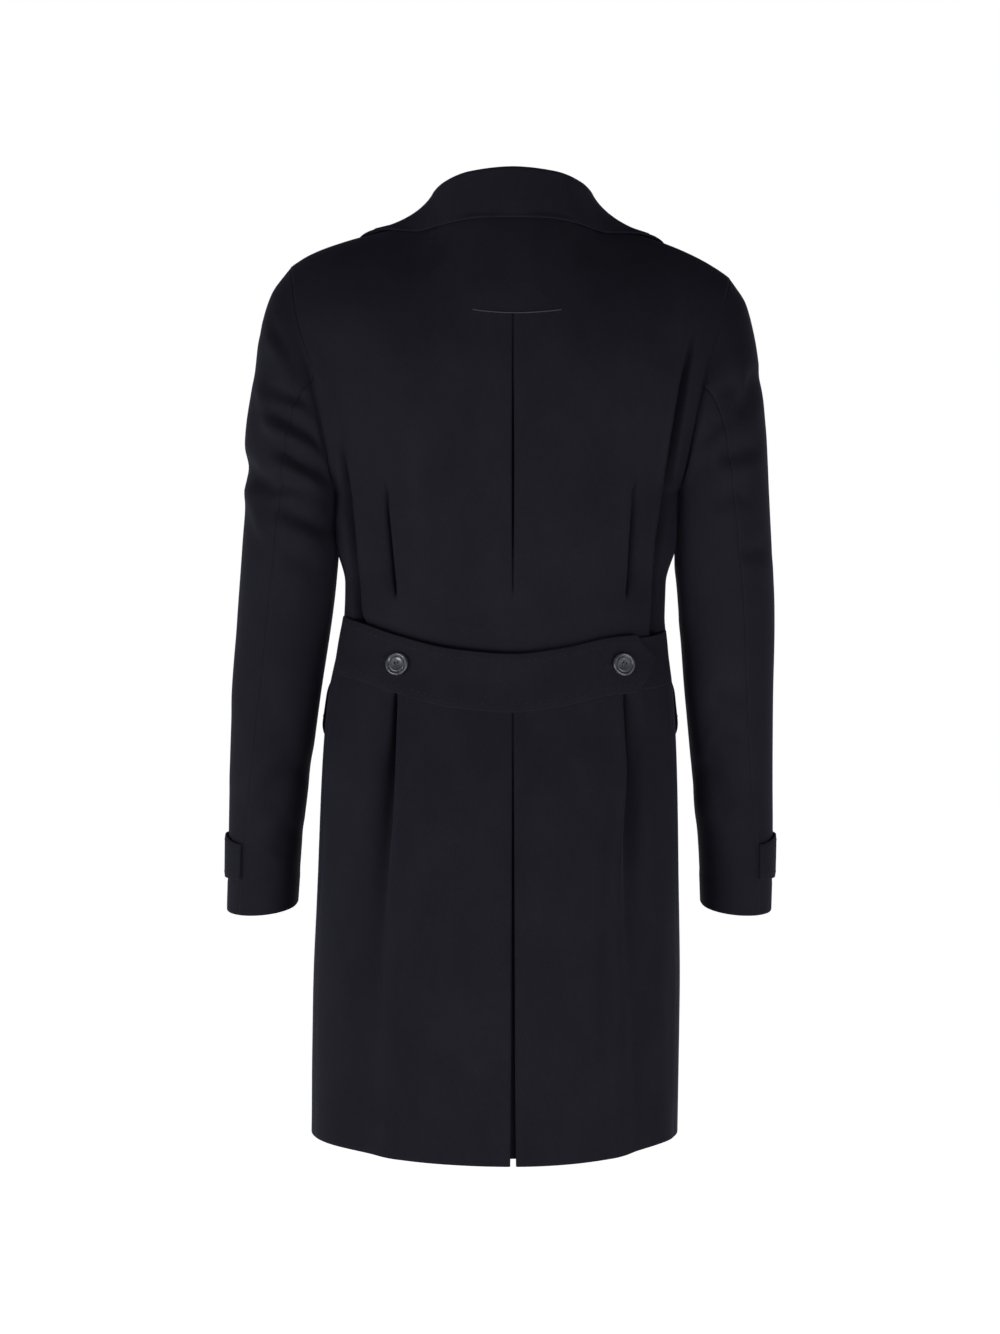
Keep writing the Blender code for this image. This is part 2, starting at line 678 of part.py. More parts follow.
def make_pleat_underlay():
    """The strip that shows in the centre pleat, behind the folded edges."""
    distance = np.linspace(-PLEAT_DEPTH, PLEAT_DEPTH, 5)
    middle = (*SKIRT_ROWS[1:], *WAIST_ROWS, *SIDE_ROWS, *BLADE_ROWS)
    heights = [HEM + UNDERLAY_SHORT, *middle, PLEAT_TOP - 5 * BAR_CLEAR]
    off = np.full(5, -4 * PLEAT_FOLD)
    return rows_wall("pleat_underlay", [laid_on("back", distance, h, off) for h in heights], CLOTH)


def roll_distance(side, height):
    """Distance of a front's inner edge: the front edge below the break, the roll line of the lapel above."""
    past_neck = neck_distance("front", side) + ROLL_PAST_NECK
    share = np.clip((height - BREAK) / (FRONT_NECK - BREAK), 0.0, 1.0)
    return blend(-OVERLAP, past_neck, share)


def front_off(side, distance):
    """The left front laps over the right, and both come together towards the side seams."""
    return side * FRONT_SPREAD * (1 - ease(*LAP_ENDS, distance * side))


def lapel_levels(side):
    """Heights of both ends of a lapel's rows: at its roll and at its outer edge."""
    roll_start, edge_start = LAPEL_START[side]
    tip, notch, top = (height for height, _ in LAPEL_EDGE[2:])
    levels = [level for level in LAPEL_ROWS if level > edge_start + 0.004]
    levels = [edge_start, *levels, tip, (tip + notch) / 2, notch, (notch + top) / 2, top]
    return [(blend(roll_start, top, (level - edge_start) / (top - edge_start)), level) for level in levels]


def make_front(side, name):
    rolls = [roll_height for roll_height, _ in lapel_levels(side)]
    below = [height for height in CHEST_ROWS if height < rolls[0]]
    heights = [*SKIRT_ROWS, *WAIST_ROWS, BREAK, *below, *rolls, *GORGE_ROWS]
    rows = []
    for height in heights:
        end = row_end("front", side, height) - SEAM_GAP / 2
        distance = np.linspace(roll_distance(side, height), end, 13) * side
        rows.append(laid_on("front", distance, height, front_off(side, distance)))
    return rows_wall(name, rows, CLOTH)


def along_front(distance, height, way):
    """Direction along a front at one height: way is 1 to the wearer's left and -1 to the right."""
    return unit(cloth("front", distance + way * PROBE, height) - cloth("front", distance, height))


def make_lapel(side, name):
    """The lapel: it rolls out of the front's inner edge and lies back over the front."""
    edge_heights, edge_distances = np.array(LAPEL_EDGE).T
    across = np.linspace(0, 1, 6)
    rows = []
    for roll_height, level in lapel_levels(side):
        roll = float(roll_distance(side, roll_height))
        heights = blend(roll_height, level, across)
        distance = blend(roll, np.interp(level, edge_heights, edge_distances), across) * side
        lift = np.maximum(LAPEL_REST, blend(2 * LAPEL_ROLL, LAPEL_REST, ease(0.0, 0.8, across)))
        lying, ways = on_face("front", distance, heights, front_off(side, distance) + lift)
        start, start_way = on_face("front", distance[:1], heights[:1], front_off(side, distance[:1]))
        aside = along_front(distance[:1], roll_height, side)
        butt = start - aside * BUTT_GAP
        edge = start + start_way * LAPEL_ROLL - aside * (LAPEL_ROLL + BUTT_GAP)
        rows.append((np.concatenate([butt, edge, lying]), np.concatenate([-start_way, -aside, ways])))
    return rows_wall(name, rows, DOUBLE_CLOTH)


def collar_stations(side):
    """Places along the collar from the centre back to the front: seam, roll, handle of the fall and edge."""
    neck_b, neck_f = neck_distance("back", side), neck_distance("front", side)
    seam_line, seam_along = top_line("back", side), lengths(top_line("back", side))
    made = []
    for share, roll, edge, height, hollow in COLLAR_BACK:
        seam = read(seam_line, seam_along, share * neck_b)
        edge = neck_b + COLLAR_PAST_NECK["back"] if edge is None else edge
        point, way = on_face("back", [edge * side], [height], [LAPEL_REST])
        crest = np.array([roll[0] * side, *roll[1:]])
        handle = blend(crest, point[0], 0.5) - way[0] * hollow
        made.append((seam + COLLAR_LIFT, crest, handle, point[0]))
    for stand, crest_lift, roll_height, handle, handle_height, edge, height in COLLAR_FRONT:
        handle = neck_f + COLLAR_PAST_NECK["handle"] if handle is None else handle
        edge = neck_f + COLLAR_PAST_NECK["edge"] if edge is None else edge
        distances = np.array([float(roll_distance(side, roll_height)), handle, edge]) * side
        lift = front_off(side, distances) + LAPEL_REST + np.array([crest_lift, 0.0016, 0.0])
        places, ways = on_face("front", distances, [roll_height, handle_height, height], lift)
        aside = along_front(distances[:1], roll_height, -side)[0]
        crest = places[0] + aside * COLLAR_INSIDE
        foot = crest - ways[0] * (COLLAR_LIFT[2] + stand) + aside * 0.003
        made.append((foot, crest, places[1], places[2]))
    return made


def body_tree():
    """The upper body's bare cloth, to rest the collar on."""
    corners, faces = [], []
    for face in ("back", "front"):
        heights = np.linspace(COLLAR_TOP, top_of(face), 40)
        grid = []
        for height in heights:
            ends = row_end(face, RIGHT, height), row_end(face, LEFT, height)
            distance = np.linspace(-ends[0], ends[1], 80)
            grid.append(np.arange(80) + sum(len(c) for c in corners))
            off = 0 * distance if face == "back" else front_off(np.sign(distance), distance)
            corners.append(laid_on(face, distance, height, off)[0])
        faces += [q if face == "front" else q[::-1] for q in grid_faces(grid)]
    return BVHTree.FromPolygons(np.concatenate(corners).tolist(), faces)


def rested(tree, point, off):
    """A point, moved out where it would come closer to the body than it may."""
    near, way, _, _ = tree.find_nearest(Vector(point))
    height = (Vector(point) - near).dot(way)
    return np.array(Vector(point) + way * max(off - height, 0.0))


def make_collar():
    """The turned-down collar: a stand up from the neck seam, a roll, and a deep fall over the shoulders."""
    stations = np.array(collar_stations(RIGHT)[:0:-1] + collar_stations(LEFT))
    keys = np.arange(len(stations), dtype=float)
    tree = body_tree()

    def places(at):
        return np.array([[smooth(keys, stations[:, i, k], at) for k in range(3)] for i in range(4)])

    sections = []
    for at in np.linspace(0, len(stations) - 1, COLLAR_SECTIONS):
        run = places(min(at + 0.05, keys[-1]))[1] - places(max(at - 0.05, 0.0))[1]
        section = collar_section(*places(at), unit(run))
        off = CLOTH / 2 + DOUBLE_CLOTH / 2 + 1.5 * LAPEL_GAP
        section[5:] = [rested(tree, point, off) for point in section[5:]]
        sections.append(section)
    points = np.array(sections)
    along = np.gradient(points, axis=0)
    across = np.gradient(points, axis=1)
    return grid_wall("collar", points, unit(np.cross(across, along)), DOUBLE_CLOTH)


def collar_section(seam, crest, handle, edge, run):
    """One section through the collar, from the neck seam over the roll to the edge of the fall."""
    rise = unit(crest - seam)
    out = unit(np.cross(rise, run))
    radius = COLLAR_ROLL
    stand = [blend(seam, crest - rise * 1.2 * radius, share) for share in (0.0, 0.5, 1.0)]
    start = crest + out * 2 * radius - rise * 0.9 * radius
    top = [crest + (out * over - rise * under) * radius for over, under in ((0.35, 0.15), (1.55, 0.10))]
    shares = np.linspace(0, 1, 5)
    fall = [start * (1 - t) ** 2 + 2 * handle * t * (1 - t) + edge * t * t for t in shares]
    return np.array([*stand, *top, *fall])


def sleeve_point(side, run, angle):
    """Points of the bare sleeve: run 0 at the armhole and 1 at the cuff, angle 0 on the outer side."""
    run, angle = np.broadcast_arrays(np.asarray(run, float), np.asarray(angle, float))

    def ring(at):
        drop = SHOULDER_TIP[side] - SHOULDER_TIP[LEFT]
        outer_z = SLEEVE.at("outer_z", at) + drop * (1 - ease(0, 0.4, at))
        outer = np.stack([SLEEVE.at("outer_x", at), outer_z], axis=-1)
        inner = np.stack([SLEEVE.at("inner_x", at), SLEEVE.at("inner_z", at)], axis=-1)
        place = (outer + inner) / 2 + (outer - inner) / 2 * np.cos(angle)[..., None]
        back, front = SLEEVE.at("back", at), SLEEVE.at("front", at)
        y = (back + front) / 2 + (back - front) / 2 * np.sin(angle)
        nearest = np.maximum(place[..., 0], SLEEVE_PRESS.at("nearest", place[..., 1]))
        x = side * nearest + shift(place[..., 1]) + SLEEVE.at("lean", at)
        z = place[..., 1] - CUFF_TILT * ease(0.55, 1.0, at) * np.sin(angle)
        return np.stack([x, y, z], axis=-1)

    low = (1 - np.cos(angle)) / 2
    clear = blend(ARM_CLEAR, UNDERARM_CLEAR, low)
    seam = armhole(side, angle) + np.stack([side * clear, 0 * low, 0 * low], axis=-1)
    fade = (1 - ease(0.0, SLEEVE_SET, run))[..., None]
    return ring(run) + (seam - ring(np.zeros_like(run))) * fade


def sleeve_relief(side, run, angle):
    """How far the sleeve's folds stand in from its bare form."""
    point = sleeve_point(side, run, angle)
    relief = np.zeros(point.shape[:-1])
    for fold_side, height, turn, end_height, end_turn, depth, width in SLEEVE_FOLDS:
        if fold_side == side:
            start = (math.radians(turn) * SLEEVE_GIRTH, height)
            end = (math.radians(end_turn) * SLEEVE_GIRTH, end_height)
            relief += segment_hollow(angle * SLEEVE_GIRTH, point[..., 2], start, end, depth, width)
    return relief * ease(0.02, 0.10, run)


def sleeve_way(side, run, angle):
    """Directions straight out of the sleeve. At the armhole they lie in the plane of the seam."""
    run, angle = np.broadcast_arrays(np.asarray(run, float), np.asarray(angle, float))
    low, high = np.maximum(run - 0.004, 0.0), np.minimum(run + 0.004, 1.0)
    down = sleeve_point(side, high, angle) - sleeve_point(side, low, angle)
    round_it = sleeve_point(side, run, angle + 0.02) - sleeve_point(side, run, angle - 0.02)
    way = unit(np.cross(down, round_it) * side)
    flat = way * np.array([0.0, 1.0, 1.0])
    radial = np.stack([0 * angle, np.sin(angle), np.cos(angle)], axis=-1)
    flat = unit(blend(radial, unit(flat + 1e-9), 0.4))
    return np.where((run < 1e-6)[..., None], flat, way)


def sleeve_off(side, run, angle, off):
    return sleeve_point(side, run, angle) + sleeve_way(side, run, angle) * np.asarray(off)[..., None]


SLEEVE_RUNS = (
    *(0.0, 0.03, 0.06, 0.10, 0.14, 0.18, 0.22, 0.26, 0.30, 0.34),
    *(0.39, 0.44, 0.50, 0.57, 0.64, 0.71, 0.78, 0.85, 0.925, 1.0),
)


def make_sleeve_piece(side, name, upper):
    """The top sleeve, round the outer side, or the under sleeve, between the same two seams."""
    rows = []
    for run in SLEEVE_RUNS:
        hind, fore = (math.radians(float(SLEEVE_SEAMS.at(n, run))) for n in ("hind", "fore"))
        first, last = (fore, hind) if upper else (hind, fore + 2 * math.pi)
        gap = SEAM_GAP / 2 / CUFF_GIRTH
        angle = np.linspace(first + gap, last - gap, 10)
        along = np.full_like(angle, run)
        off = sleeve_relief(side, along, np.where(angle > math.pi, angle - 2 * math.pi, angle))
        rows.append((sleeve_off(side, along, angle, off), sleeve_way(side, along, angle)))
    return rows_wall(name, rows, CLOTH)


def run_at(side, height, angle):
    """The run along a sleeve where it has a given height, by halving."""
    low, high = 0.4, 1.0
    for _ in range(30):
        middle = (low + high) / 2
        higher = sleeve_point(side, middle, angle)[2] > height
        low, high = (middle, high) if higher else (low, middle)
    return low


def make_cuff_strap(side, name):
    """The strap sewn into the hind seam of a sleeve, round the outer side to its point at the front."""
    seam = math.radians(float(SLEEVE_SEAMS.at("hind", 0.93))) - 0.004
    off = CLOTH / 2 + DOUBLE_CLOTH / 2 + LAY_GAP
    rows = []
    for angle in np.linspace(seam, STRAP_END, 12):
        top = blend(STRAP_TOP, STRAP_TOP_AT_SEAM, ease(0.0, seam, angle))
        middle = (STRAP_TOP + STRAP_BOTTOM) / 2
        narrow = ease(0.0, 1.0, (STRAP_END + STRAP_POINT - angle) / STRAP_POINT) * STRAP_NARROW
        top, bottom = blend(top, middle, narrow), blend(STRAP_BOTTOM, middle, narrow)
        run = np.array([run_at(side, h, angle) for h in np.linspace(bottom, top, 4)])
        turn = np.full(4, angle)
        relief = sleeve_relief(side, run, turn)
        rows.append((sleeve_off(side, run, turn, np.maximum(relief, 0) + off), sleeve_way(side, run, turn)))
    return rows_wall(name, rows, DOUBLE_CLOTH)


def rounded_drop(across, corner, width):
    """How far a lower edge rises towards its rounded corners, across from one side to the other."""
    side = np.minimum(across, width - across)
    near = np.clip(1 - side / corner, 0.0, 1.0)
    return corner * (1 - np.sqrt(1 - near**2))


def patch_rows(side, top, bottom, corner, grow, levels, off):
    """Rows of a patch on a front, with rounded lower corners. off gives how far it stands off by level."""
    width = POCKET_WIDTH + 2 * grow
    columns = np.linspace(0, 1, 13)
    across = width * blend((1 - np.cos(math.pi * columns)) / 2, columns, 0.35)
    rows = []
    for level in levels:
        heights = blend(bottom + rounded_drop(across, corner, width), top, level)
        ends = np.array([row_end("front", side, h) for h in heights])
        distances = (ends - POCKET_BACK_EDGE + grow - across) * side
        rows.append(on_face("front", distances, heights, front_off(side, distances) + off(level)))
    return rows


def make_pocket(side, name):
    levels = np.linspace(0, 1, 8)
    rows = patch_rows(side, POCKET_TOP, POCKET_BOTTOM, POCKET_CORNER, 0.0, levels, lambda level: POCKET_OFF)
    return rows_wall(name, rows, CLOTH)


def flap_off(level):
    """A flap is sewn to the bare front along its top, and then hangs over the pocket's mouth."""
    over = 1 - ease(*FLAP_OVER, level)
    return blend(FLAP_SEAM_OFF, FLAP_OFF, over) + FLAP_STAND_OFF * (1 - level) ** 2


def make_flap(side, name):
    levels = (0.0, 0.30, 0.58, 0.79, 1.0)
    rows = patch_rows(side, FLAP_TOP, FLAP_BOTTOM, FLAP_CORNER, FLAP_GROW, levels, flap_off)
    return rows_wall(name, rows, DOUBLE_CLOTH)


def make_half_belt():
    """The long strap from the left side seam across the back to its pointed end."""
    across = np.linspace(-1, 1, 5)
    end = row_end("back", LEFT, BELT_SEAM_HEIGHT) - BELT_SEAM_GAP
    tip = [BELT_TIP, BELT_TIP + 0.004, BELT_TIP + 0.013, BELT_TIP + BELT_TIP_TAPER]
    rows = []
    for distance in [*tip, *np.linspace(BELT_TIP + 0.042, end, 22)]:
        taper = min(1.0, blend(BELT_TIP_WIDTH, 1.0, (distance - BELT_TIP) / BELT_TIP_TAPER))
        heights = BELT.at("height", distance) + across * BELT_HALF_WIDTH * taper
        gape = BELT_GAPE * np.exp(-(((distance - 0.01) / 0.08) ** 2)) * ease(-0.2, 1.0, across)
        off = BELT.at("off", distance) + gape
        rows.append(on_face("back", np.full(5, distance), heights, off))
    return rows_wall("half_belt_left", rows, DOUBLE_CLOTH)


def make_under_belt():
    """The short strap from the right side seam, which the long one buttons over."""
    across = np.linspace(-1, 1, 5)
    end = -row_end("back", RIGHT, BELT_SEAM_HEIGHT) + BELT_SEAM_GAP
    rows = []
    for distance in np.linspace(end, UNDER_BELT_END, 11):
        heights = BELT.at("height", distance) + across * (BELT_HALF_WIDTH - 0.003)
        rows.append(on_face("back", np.full(5, distance), heights, np.full(5, UNDER_BELT_OFF)))
    return rows_wall("half_belt_right", rows, DOUBLE_CLOTH)


def seat(carrier, point, way):
    """A point above or below a carrier's skin, moved to stand just clear of it with a button's width."""
    mesh = bpy.data.objects[carrier].data
    tree = BVHTree.FromPolygons([v.co for v in mesh.vertices], [list(p.vertices) for p in mesh.polygons])
    side = unit(np.cross(way, (0.0, 0.0, 1.0)))
    up = np.cross(side, way)
    rises = []
    for turn in np.linspace(0, 2 * math.pi, SEAT_PROBES, endpoint=False):
        for radius in (0.0, BUTTON_PROFILE[0][0]):
            spot = point + (side * math.cos(turn) + up * math.sin(turn)) * radius
            hit = tree.ray_cast(Vector(spot + way * REACH), Vector(-way))[0]
            rises.append(np.dot(np.array(hit) - point, way))
    return point + way * (max(rises) + SEAT_GAP)


def make_button(name, carrier, point, way):
    """A turned button with a raised rim round a shallow dish, seated on the piece that carries it."""
    bm = bmesh.new()
    turns = [2 * math.pi * i / BUTTON_SIDES for i in range(BUTTON_SIDES)]
    rings = [[bm.verts.new((r * math.cos(t), r * math.sin(t), h)) for t in turns] for r, h in BUTTON_PROFILE]
    for low, high in zip(rings[:-1], rings[1:]):
        for i in range(BUTTON_SIDES):
            j = (i + 1) % BUTTON_SIDES
            bm.faces.new([low[i], low[j], high[j], high[i]])
    bm.faces.new(rings[0][::-1])
    bm.faces.new(rings[-1])
    bmesh.ops.recalc_face_normals(bm, faces=bm.faces[:])
    made = add_object(name, bm, HORN, HORN_ANGLE)
    made.location = Vector(seat(carrier, point, way))
    made.rotation_mode = "QUATERNION"
    made.rotation_quaternion = Vector(way).to_track_quat("Z", "Y")
    return made


def make_buttons():
    for side, name in ((LEFT, "left"), (RIGHT, "right")):
        distance = BELT_BUTTONS[side]
        off = float(BELT.at("off", distance))
        points, ways = on_face("back", [distance], [float(BELT.at("height", distance))], [off])
        make_button(f"belt_button_{name}", "half_belt_left", points[0], ways[0])
        for row, height in enumerate(FRONT_BUTTON_ROWS, 1):
            points, ways = on_face("front", [FRONT_BUTTON_COLUMN * side], [height], [FRONT_SPREAD])
            make_button(f"front_button_{name}_{row}", "front_left", points[0], ways[0])
        run = run_at(side, (STRAP_TOP + STRAP_BOTTOM) / 2, CUFF_BUTTON_ANGLE)
        point, way = (find(side, run, CUFF_BUTTON_ANGLE) for find in (sleeve_point, sleeve_way))
        make_button(f"cuff_button_{name}", f"cuff_strap_{name}", point, way)


for old in list(bpy.data.objects):
    bpy.data.objects.remove(old)
COAT = bpy.data.objects.new("coat", None)
bpy.context.scene.collection.objects.link(COAT)
WOOL = make_material("navy_wool", (0.012, 0.012, 0.018), 0.9)
HORN = make_material("dark_horn", (0.030, 0.032, 0.040), 0.3)

make_back()
make_pleat_underlay()
make_collar()
for SIDE, NAME in ((LEFT, "left"), (RIGHT, "right")):
    make_front(SIDE, f"front_{NAME}")
    make_lapel(SIDE, f"lapel_{NAME}")
    make_sleeve_piece(SIDE, f"top_sleeve_{NAME}", True)
    make_sleeve_piece(SIDE, f"under_sleeve_{NAME}", False)
    make_cuff_strap(SIDE, f"cuff_strap_{NAME}")
    make_pocket(SIDE, f"pocket_{NAME}")
    make_flap(SIDE, f"flap_{NAME}")
make_half_belt()
make_under_belt()
make_buttons()
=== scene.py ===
# %% [markdown]
# # A navy double-breasted overcoat, piece by piece
# The real coat is cut from thick, softly raised wool and sewn into a hollow shell that keeps the shape
# of a wearer. The frame holds that shell as plain walls. Here each wall is made again from the same few
# sizes, but finely enough to carry folds, rolled edges, seams and stitches, and then it gets its
# finish.

# %% Load the frame
import math

import bmesh
import bpy
import numpy as np
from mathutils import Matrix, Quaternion, Vector
from mathutils.bvhtree import BVHTree


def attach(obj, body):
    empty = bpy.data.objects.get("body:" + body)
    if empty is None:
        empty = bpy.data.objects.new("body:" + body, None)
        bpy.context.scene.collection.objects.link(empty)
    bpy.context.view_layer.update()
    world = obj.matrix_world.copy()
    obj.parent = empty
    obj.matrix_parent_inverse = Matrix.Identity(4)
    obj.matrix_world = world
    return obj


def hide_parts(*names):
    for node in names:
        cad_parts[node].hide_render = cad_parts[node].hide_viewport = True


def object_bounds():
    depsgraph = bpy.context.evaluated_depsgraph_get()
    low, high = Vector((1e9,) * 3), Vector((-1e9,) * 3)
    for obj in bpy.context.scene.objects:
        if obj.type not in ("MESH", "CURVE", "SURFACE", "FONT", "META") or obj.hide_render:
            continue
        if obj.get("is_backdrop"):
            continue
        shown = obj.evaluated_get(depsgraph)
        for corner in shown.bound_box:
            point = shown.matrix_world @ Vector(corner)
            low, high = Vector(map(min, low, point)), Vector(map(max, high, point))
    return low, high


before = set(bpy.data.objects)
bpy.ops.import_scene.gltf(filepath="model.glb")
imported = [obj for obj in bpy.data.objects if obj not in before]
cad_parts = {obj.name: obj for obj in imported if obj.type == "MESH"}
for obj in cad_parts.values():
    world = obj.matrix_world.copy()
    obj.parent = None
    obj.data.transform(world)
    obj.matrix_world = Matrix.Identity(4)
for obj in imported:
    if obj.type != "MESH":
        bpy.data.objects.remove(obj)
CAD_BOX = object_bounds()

print("the frame holds", len(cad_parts), "pieces")

# %% [markdown]
# ## Where the camera stands
# The photograph looks straight at the back from about three metres, level with the half belt. Blender
# fits a camera's sensor to the longer side of the picture, so the lens follows from the height of the
# picture: so many pixels, each as wide as a millimetre or so on the coat.

# %% Camera
PHOTO_HEIGHT = 1334  # pixels
PIXEL = 0.00106  # metres of the coat's middle plane that one pixel covers
CAMERA_PLACE = (0.0132, 3.0, -0.484)


def add_object(name, data):
    """Puts a new object into the scene."""
    made = bpy.data.objects.new(name, data)
    bpy.context.scene.collection.objects.link(made)
    return made


camera_data = bpy.data.cameras.new("camera")
camera_data.sensor_width = 36.0
camera_data.lens = camera_data.sensor_width * CAMERA_PLACE[1] / (PHOTO_HEIGHT * PIXEL)
camera = add_object("camera", camera_data)
camera.location = CAMERA_PLACE
camera.rotation_euler = (math.radians(90), 0.0, math.radians(180))
bpy.context.scene.camera = camera
print(f"lens {camera_data.lens:.1f} mm")

# %% [markdown]
# ## A white studio
# The coat hangs before plain white, lit softly from all round and a little more from the wearer's left,
# but hardly from above: its shoulders are the darkest part. So the world is white all round and darkens
# towards the zenith. A large area light beside the camera draws the folds, a narrow one farther round on
# the same side lights the edge, and a low one lifts the skirt. The floor is a wide pale disc far below
# the hem. Dark cloth on white needs whites that stay white, so the picture is shown with the standard
# view and not with a film curve.

# %% Studio
FLOOR_HEIGHT, FLOOR_RADIUS, FLOOR_GLOW = -1.32, 14.0, 0.90
WHITE = (1.0, 1.0, 1.0, 1.0)
SKY_START, SKY_END, SKY_TOP = 0.235, 0.38, 0.02  # the world darkens between these heights, to this strength
LIGHTS = [
    # name, place, target, width and height, watts, colour
    ("key", (2.2, 2.0, -1.05), (0.0, 0.0, -0.5), (1.2, 1.2), 78, (1.0, 0.98, 0.97)),
    ("edge", (2.6, -0.6, -0.5), (0.0, 0.0, -0.5), (0.6, 1.8), 7, (0.85, 0.88, 1.0)),
    ("low", (-0.9, 1.6, -1.08), (-0.1, 0.0, -0.75), (1.0, 0.3), 18, (1.0, 0.99, 0.98)),
]


def set_inputs(node, values):
    """Sets inputs of a node by their names."""
    for name, value in values.items():
        node.inputs[name].default_value = value


world = bpy.data.worlds.new("white_studio")
world.use_nodes = True
sky = world.node_tree
background = sky.nodes["Background"]
background.inputs["Color"].default_value = WHITE
direction = sky.nodes.new("ShaderNodeTexCoord")
height_of = sky.nodes.new("ShaderNodeSeparateXYZ")
darken = sky.nodes.new("ShaderNodeMapRange")
darken.interpolation_type = "SMOOTHSTEP"
set_inputs(darken, {"From Min": SKY_START, "From Max": SKY_END, "To Min": 1.0, "To Max": SKY_TOP})
sky.links.new(direction.outputs["Generated"], height_of.inputs["Vector"])
sky.links.new(height_of.outputs["Z"], darken.inputs["Value"])
sky.links.new(darken.outputs["Result"], background.inputs["Strength"])
bpy.context.scene.world = world
bpy.context.scene.view_settings.view_transform = "Standard"

floor_mesh = bpy.data.meshes.new("floor")
shape = bmesh.new()
bmesh.ops.create_circle(shape, cap_ends=True, radius=FLOOR_RADIUS, segments=96)
shape.to_mesh(floor_mesh)
shape.free()
floor = add_object("floor", floor_mesh)
floor.location.z = FLOOR_HEIGHT
floor_paint = bpy.data.materials.new("pale_floor")
floor_paint.use_nodes = True
set_inputs(floor_paint.node_tree.nodes["Principled BSDF"], {
    "Base Color": (0.9, 0.9, 0.9, 1.0), "Roughness": 0.9,
    "Emission Color": WHITE, "Emission Strength": FLOOR_GLOW,
})
floor_mesh.materials.append(floor_paint)
floor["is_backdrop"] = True

for light_name, place, target, size, power, colour in LIGHTS:
    lamp = bpy.data.lights.new(light_name, "AREA")
    lamp.shape = "RECTANGLE"
    lamp.size, lamp.size_y = size
    lamp.energy = power
    lamp.color = colour
    light = add_object(light_name, lamp)
    light.location = place
    light.rotation_euler = (Vector(target) - Vector(place)).to_track_quat("-Z", "Y").to_euler()
print("studio: white world, pale floor, a key, an edge light and a low one for the skirt")

# %% [markdown]
# ## The wool
# Coating like this is woven, fulled until the weave all but closes, and brushed downwards, so it shows
# a short nap and no threads. Three textures do that: long fine fibres that run down the cloth, a faint
# twill under them, and slow clouds where the nap lies differently. A little sheen gives the pale bloom
# at the edges, which is the light caught by the fibre ends. It is the same all over, so it is set on
# the shader itself.

# %% Wool, horn and thread


class Finish:
    """A new material, with short ways to add nodes to it."""

    def __init__(self, name):
        self.material = bpy.data.materials.new(name)
        self.material.use_nodes = True
        self.tree = self.material.node_tree
        self.shader = self.tree.nodes["Principled BSDF"]

    def add(self, kind, **values):
        """Adds a node; a value whose name is one of its inputs is set there, and any other on the node."""
        made = self.tree.nodes.new(kind)
        for name, value in values.items():
            title = name.replace("_", " ").title()
            if title in made.inputs:
                made.inputs[title].default_value = value
            else:
                setattr(made, name, value)
        return made

    def link(self, output, socket):
        self.tree.links.new(output, socket)

    def texture(self, kind, stretch, **values):
        """The factor of a texture in the piece's own space, stretched along its axes."""
        made = self.add(kind, **values)
        place, squeeze = self.add("ShaderNodeTexCoord"), self.add("ShaderNodeMapping", scale=stretch)
        self.link(place.outputs["Object"], squeeze.inputs["Vector"])
        self.link(squeeze.outputs["Vector"], made.inputs["Vector"])
        return made.outputs["Fac"]

    def colour(self, factor, dark, light):
        """Colours the surface from dark to light by a factor."""
        ramp = self.add("ShaderNodeValToRGB")
        for stop, place, shade in zip(ramp.color_ramp.elements, (0.3, 0.7), (dark, light)):
            stop.position = place
            stop.color = (*shade, 1.0)
        self.link(factor, ramp.inputs["Fac"])
        self.link(ramp.outputs["Color"], self.shader.inputs["Base Color"])

    def roughness(self, factor, low, high):
        """Makes the surface rougher by a factor."""
        made = self.add("ShaderNodeMapRange", to_min=low, to_max=high)
        self.link(factor, made.inputs["Value"])
        self.link(made.outputs["Result"], self.shader.inputs["Roughness"])

    def bumps(self, *layers):
        """Raises the surface by layers of (height, strength, distance), each over the one before."""
        below = None
        for height, strength, distance in layers:
            made = self.add("ShaderNodeBump", strength=strength, distance=distance)
            self.link(height, made.inputs["Height"])
            if below:
                self.link(below, made.inputs["Normal"])
            below = made.outputs["Normal"]
        self.link(below, self.shader.inputs["Normal"])


def wool(name, dark, light, sheen):
    """Brushed wool: fine fibres, slow clouds in the nap and a faint twill."""
    finish = Finish(name)
    fibres = finish.texture("ShaderNodeTexNoise", (1.0, 1.0, 0.22), scale=1100.0, detail=4.0, roughness=0.6)
    clouds = finish.texture("ShaderNodeTexNoise", (1.0, 1.0, 0.6), scale=26.0, detail=5.0, roughness=0.55)
    twill = finish.texture("ShaderNodeTexWave", (1.0, 1.0, 1.0), bands_direction="DIAGONAL",
                           scale=420.0, distortion=2.5, detail=2.0)
    mixed = finish.add("ShaderNodeMix", data_type="FLOAT", factor=0.45)
    finish.link(fibres, mixed.inputs["A"])
    finish.link(clouds, mixed.inputs["B"])
    finish.colour(mixed.outputs["Result"], dark, light)
    finish.roughness(clouds, 0.80, 0.98)
    finish.bumps((fibres, 0.30, 0.0004), (twill, 0.10, 0.0003))
    set_inputs(finish.shader, {
        "Specular IOR Level": 0.04, "Sheen Weight": sheen, "Sheen Roughness": 0.42,
        "Sheen Tint": (0.42, 0.44, 0.72, 1.0),
    })
    return finish.material


